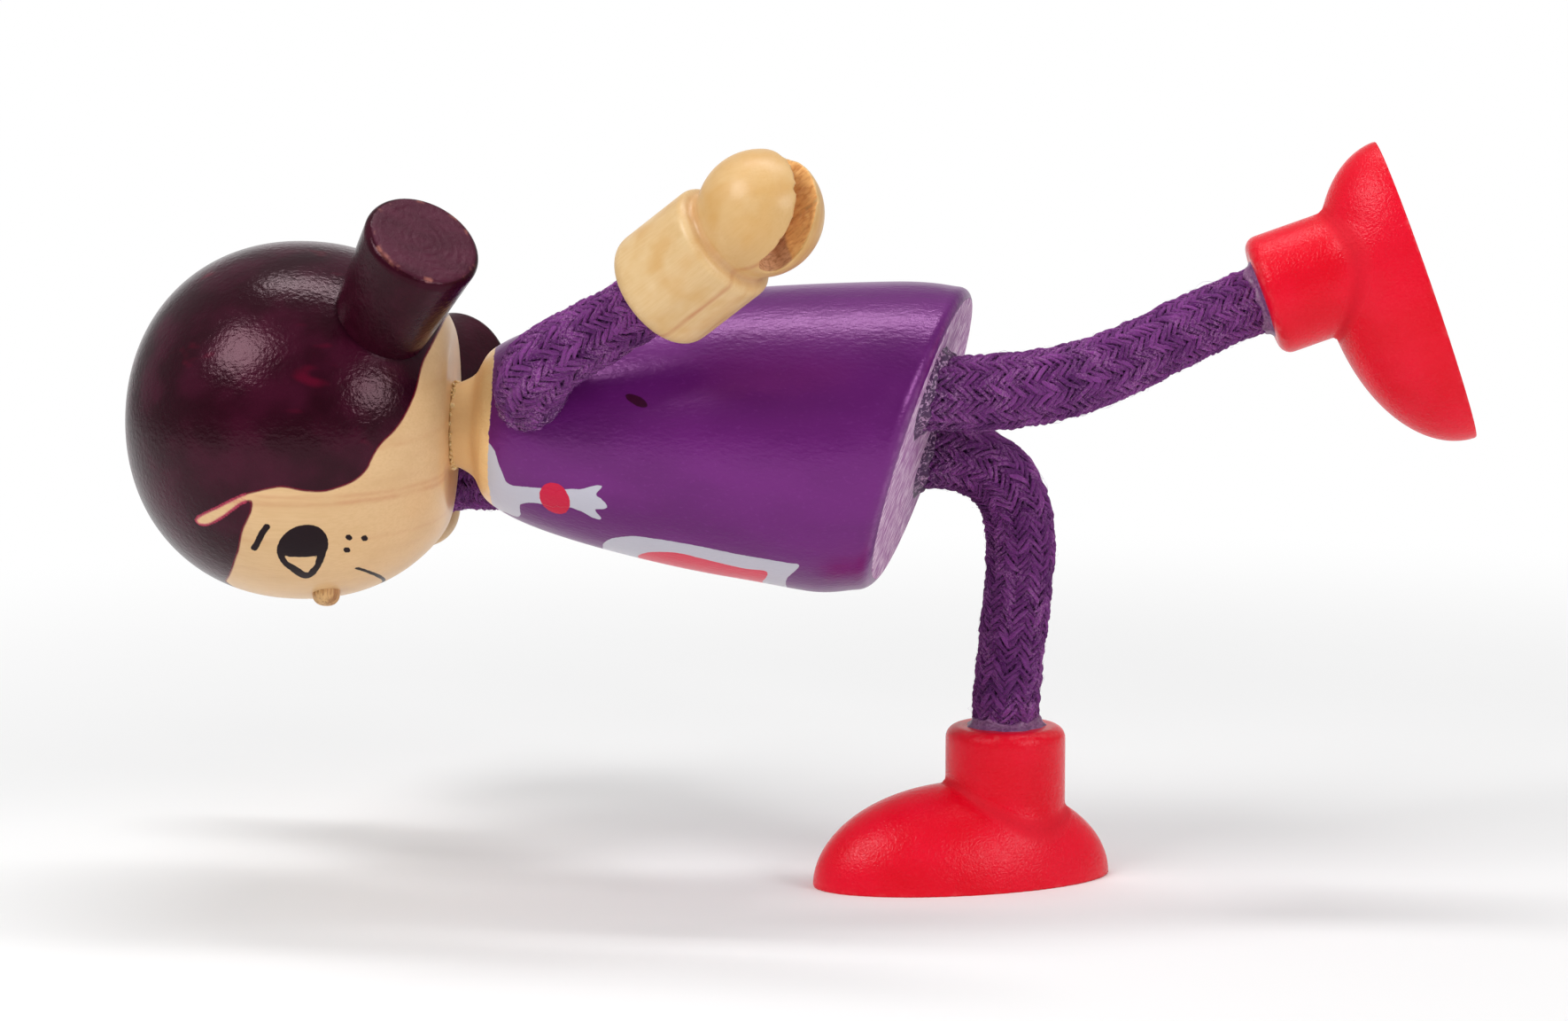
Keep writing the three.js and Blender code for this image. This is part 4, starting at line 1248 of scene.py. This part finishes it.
GLUE_BEADS = 64
CUFF_GLUE = (0.7, 0.75)  # flare and height of a collar of glue
WRIST_GLUE = (0.35, 0.4)
HIP_GLUE = (0.95, 0.85)
GLUE_HEIGHTS = [(0.22, 3), (0.16, 7), (0.1, 13)]  # sizes and rates of waves round a collar
GLUE_SPREADS = [(0.03, 5), (0.02, 11)]


def collar(name, place, radius, flare, height, body, material, lean=0.0):
    """Ring of set glue round a cord where it goes into a piece, along +Z of a frame"""
    line = (radius, 0) + np.array([
        (-0.6, -0.5), (flare, -0.25), (flare * 0.8, 0.05),
        (flare * 0.35, height * 0.45), (0.06, height), (-0.6, height),
    ])
    mesh = turned(name, evenly(np.vstack([[(0, -0.5)], spline(line, 6), [(0, height)]]), 0.1), 96)
    points = points_of(mesh)
    phi = np.radians(around(points))
    uneven = 1 + waves(phi, GLUE_HEIGHTS, (flare * 7, 1, 0))
    points[:, 2] *= np.where(points[:, 2] > 0.02, uneven, 1)
    points[:, :2] *= 1 + waves(phi, GLUE_SPREADS, (2, 0))[:, None]
    points[:, 2] -= lean * points[:, 1]
    move_points(mesh, points)
    made = piece(name, mesh, place, material)
    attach(made, body)


def make_crumbs(material):
    """Beads of glue squeezed out between neck and head"""
    shape = bmesh.new()
    for _ in range(GLUE_BEADS):
        phi = rng.uniform(0, math.tau)
        size = rng.uniform(0.1, 0.26) + 0.16 * (rng.random() > 0.85)
        r = NECK_RADIUS + rng.uniform(-0.1, 0.2)
        z = NECK_HEIGHT + FIT_GAP * rng.uniform(0.2, 1.0)
        at = shift(r * math.sin(phi), -r * math.cos(phi), z)
        spin = Matrix.Rotation(rng.uniform(0, 6), 4, Vector(rng.normal(size=3)).normalized())
        squash = Matrix.Diagonal((1, rng.uniform(0.6, 1.2), rng.uniform(0.5, 0.9), 1))
        bmesh.ops.create_icosphere(shape, subdivisions=2, radius=size, matrix=at @ spin @ squash)
    for v in shape.verts:
        v.co += Vector(rng.normal(0, 0.02, 3))
        v.co *= MM
    mesh = bpy.data.meshes.new("neck_glue")
    shape.to_mesh(mesh)
    shape.free()
    made = piece("neck_glue_beads", mesh, FIGURE, material)
    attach(made, "torso")


# Stage

WHITE = (1, 1, 1, 1)
FLOOR_REACH = 4000.0
SHADOW_REACH = (80.0, 240.0)  # where the white background begins and is whole
BEHIND = (0.75, 0.98)  # share of a direction that points back, where reflections meet white
BACKDROP_TOP = (0.3, 0.55)  # share that points up, where that white ends
LAMP_AIM_HEIGHT = 40.0


def make_floor():
    r = FLOOR_REACH
    mesh = mesh_of("floor", [(-r, -r, 0), (r, -r, 0), (r, r, 0), (-r, r, 0)], [(0, 1, 2, 3)])
    made = put("floor", mesh)
    f = Finish("floor_paper", own_frame=False)
    tint = f.mix(f.noise(40.0, detail=2), (0.88, 0.88, 0.88, 1), (0.9, 0.9, 0.9, 1))
    f.set(Base_Color=tint, Roughness=0.9, Specular_IOR_Level=0.1)
    away = f.add("VectorMath", operation="LENGTH")
    f.feed(away.inputs[0], f.place)
    far = f.step(away.outputs["Value"], *SHADOW_REACH)
    behind = f.step(f.maths("DIVIDE", f.axis("Y"), away.outputs["Value"]), *BEHIND)
    glow = f.made("Emission", Color=WHITE, Strength=1.0)[0]
    blend = f.add("MixShader")
    for socket, value in enumerate((f.times(far, f.seen_white(behind)), f.shader.outputs[0], glow)):
        f.feed(blend.inputs[socket], value)
    f.feed(f.output.inputs[0], blend.outputs[0])
    mesh.materials.append(f.material)


def make_world(around_it, before_it):
    """White room, whose light is softer from where the photographer stands"""
    world = bpy.data.worlds.new("studio")
    bpy.context.scene.world = world
    world.use_nodes = True
    n = Nodes(world.node_tree)
    way_out = n.made("SeparateXYZ", Vector=n.add("TexCoord").outputs["Generated"])
    level = n.step(way_out["Y"], -0.9, -0.1, before_it, around_it)
    low = n.step(way_out["Z"], *BACKDROP_TOP, 1, 0)
    seen = n.seen_white(n.times(n.step(way_out["Y"], *BEHIND), low))
    background = n.made("Background", Color=WHITE, Strength=n.maths("MAXIMUM", level, seen))
    n.feed(n.add("OutputWorld").inputs[0], background[0])


def make_lamp(name, direction, distance, width, height, watts):
    """Soft rectangular lamp aimed at the doll"""
    data = bpy.data.lights.new(name, "AREA")
    data.shape = "RECTANGLE"
    data.size, data.size_y, data.energy = width * MM, height * MM, watts
    lamp = put(name, data)
    out = Vector(direction).normalized()
    lamp.location = (Vector((0, 0, LAMP_AIM_HEIGHT)) + out * distance) * MM
    lamp.rotation_euler = out.to_track_quat("Z", "Y").to_euler()
    return lamp


def make_camera():
    data = bpy.data.cameras.new("camera")
    data.lens, data.sensor_width = CAMERA_LENS, SENSOR_WIDTH
    camera = put("camera", data)
    lift = CAMERA_ELEVATION * DEG
    back = Vector((0, -math.cos(lift), math.sin(lift)))
    camera.location = (Vector(CAMERA_TARGET) + back * CAMERA_DISTANCE) * MM
    camera.rotation_euler = back.to_track_quat("Z", "Y").to_euler()
    bpy.context.scene.camera = camera


make_camera()
make_world(around_it=0.36, before_it=0.1)
make_lamp("upper_left", (-0.57, -0.46, 0.68), 520, 220, 200, 1.4)
make_lamp("overhead", (0.03, 0.18, 0.98), 520, 420, 70, 1.15)
make_lamp("right_front", (0.68, -0.62, 0.39), 1000, 400, 290, 3.2)
make_lamp("front_fill", (-0.1, -0.95, 0.25), 560, 300, 300, 0.3).visible_glossy = False
make_floor()
bpy.context.scene.view_settings.view_transform = "Standard"

make_head()
make_nose()
hair = pigtail_finish()
make_pigtail("left_pigtail", 1, hair)
make_pigtail("right_pigtail", -1, hair)
make_body()
varnish = hand_finish()
red = shoe_finish()
for side in ("left", "right"):
    make_hand(side, varnish)
    make_shoe(side, red)

# For each limb its side of the body, how far its curve reaches straight on from its socket
# and its sleeve, and pairs of a place and the cord's radius there
LEGS = {
    "left": (1, (17, 13), [(-2, 3.5), (0, 3.55), (8, 3.6), (14, 3.45), (22, 3.25), (34, 3.15)]),
    "right": (-1, (13.6, 13), [(-2, 3.4), (0, 3.45), (10, 3.4), (20, 3.3), (31, 3.25)]),
}
ARMS = {
    "left": (1, (9.5, 7), [(-2, 3.35), (0, 3.45), (4, 3.5), (8, 3.45), (14, 3.15), (20, 3.1)]),
    "right": (-1, (6, 7), [(-2, 3.35), (0, 3.4), (20, 3.3)]),
}
LEG_CUTS = (9.0, 14.5, 24.0)  # where a limb's cord is cut into pieces
ARM_CUTS = (7.5, 12.5)
cotton = cord_finish()
limbs = {}
for side, (sign, reach, radii) in LEGS.items():
    braid = Braid(leg_route(side, sign, reach), radii)
    limbs[side, "leg"] = braid
    bodies = ["torso", f"{side}_hip", f"{side}_thigh", f"{side}_shin"]
    nodes = [f"{side}_leg_rope_{part}" for part in ("hip", "thigh", "knee", "shin")]
    last = make_limb(side, "leg", braid, LEG_CUTS, bodies, nodes, cotton)
    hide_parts(f"{side}_leg_wire")
for side, (sign, reach, radii) in ARMS.items():
    braid = Braid(arm_route(side, sign, reach), radii)
    limbs[side, "arm"] = braid
    bodies = ["torso", f"{side}_upper_arm", f"{side}_forearm"]
    nodes = [f"{side}_arm_rope_{part}" for part in ("shoulder", "elbow", "wrist")]
    last = make_limb(side, "arm", braid, ARM_CUTS, bodies, nodes, cotton)
    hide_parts("arm_rope_middle", "arm_wire")

film = glue_finish("glue_film", (100, 48, 98), (146, 100, 142), 0.4)
crust = glue_finish("hip_crust", (66, 26, 74), (182, 142, 180), 0.5, (0.5, 0.66))
amber = glue_finish("glue_beads", (236, 196, 130), (250, 226, 172), 0.4)
for side in ("left", "right"):
    leg, arm = limbs[side, "leg"], limbs[side, "arm"]
    ankle, wrist = leg.radius(leg.route.length), arm.radius(arm.route.length)
    collar(side + "_cuff_glue", cuff_mouth(side), ankle, *CUFF_GLUE, side + "_shin", film)
    mouth = HANDS[side] @ turn(180, "X")
    collar(side + "_wrist_glue", mouth, wrist, *WRIST_GLUE, side + "_forearm", film)
    hip, slant = hip_mouth(LEGS[side][0]) @ turn(180, "X"), math.tan(HEM_SLANT * DEG)
    collar(side + "_hip_glue", hip, leg.radius(0.0), *HIP_GLUE, "torso", crust, lean=slant)
make_crumbs(amber)

dowel = dowel_finish()
for name in ("neck_dowel", "left_pigtail_dowel", "right_pigtail_dowel"):
    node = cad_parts[name]
    node.data.materials.clear()
    node.data.materials.append(dowel)
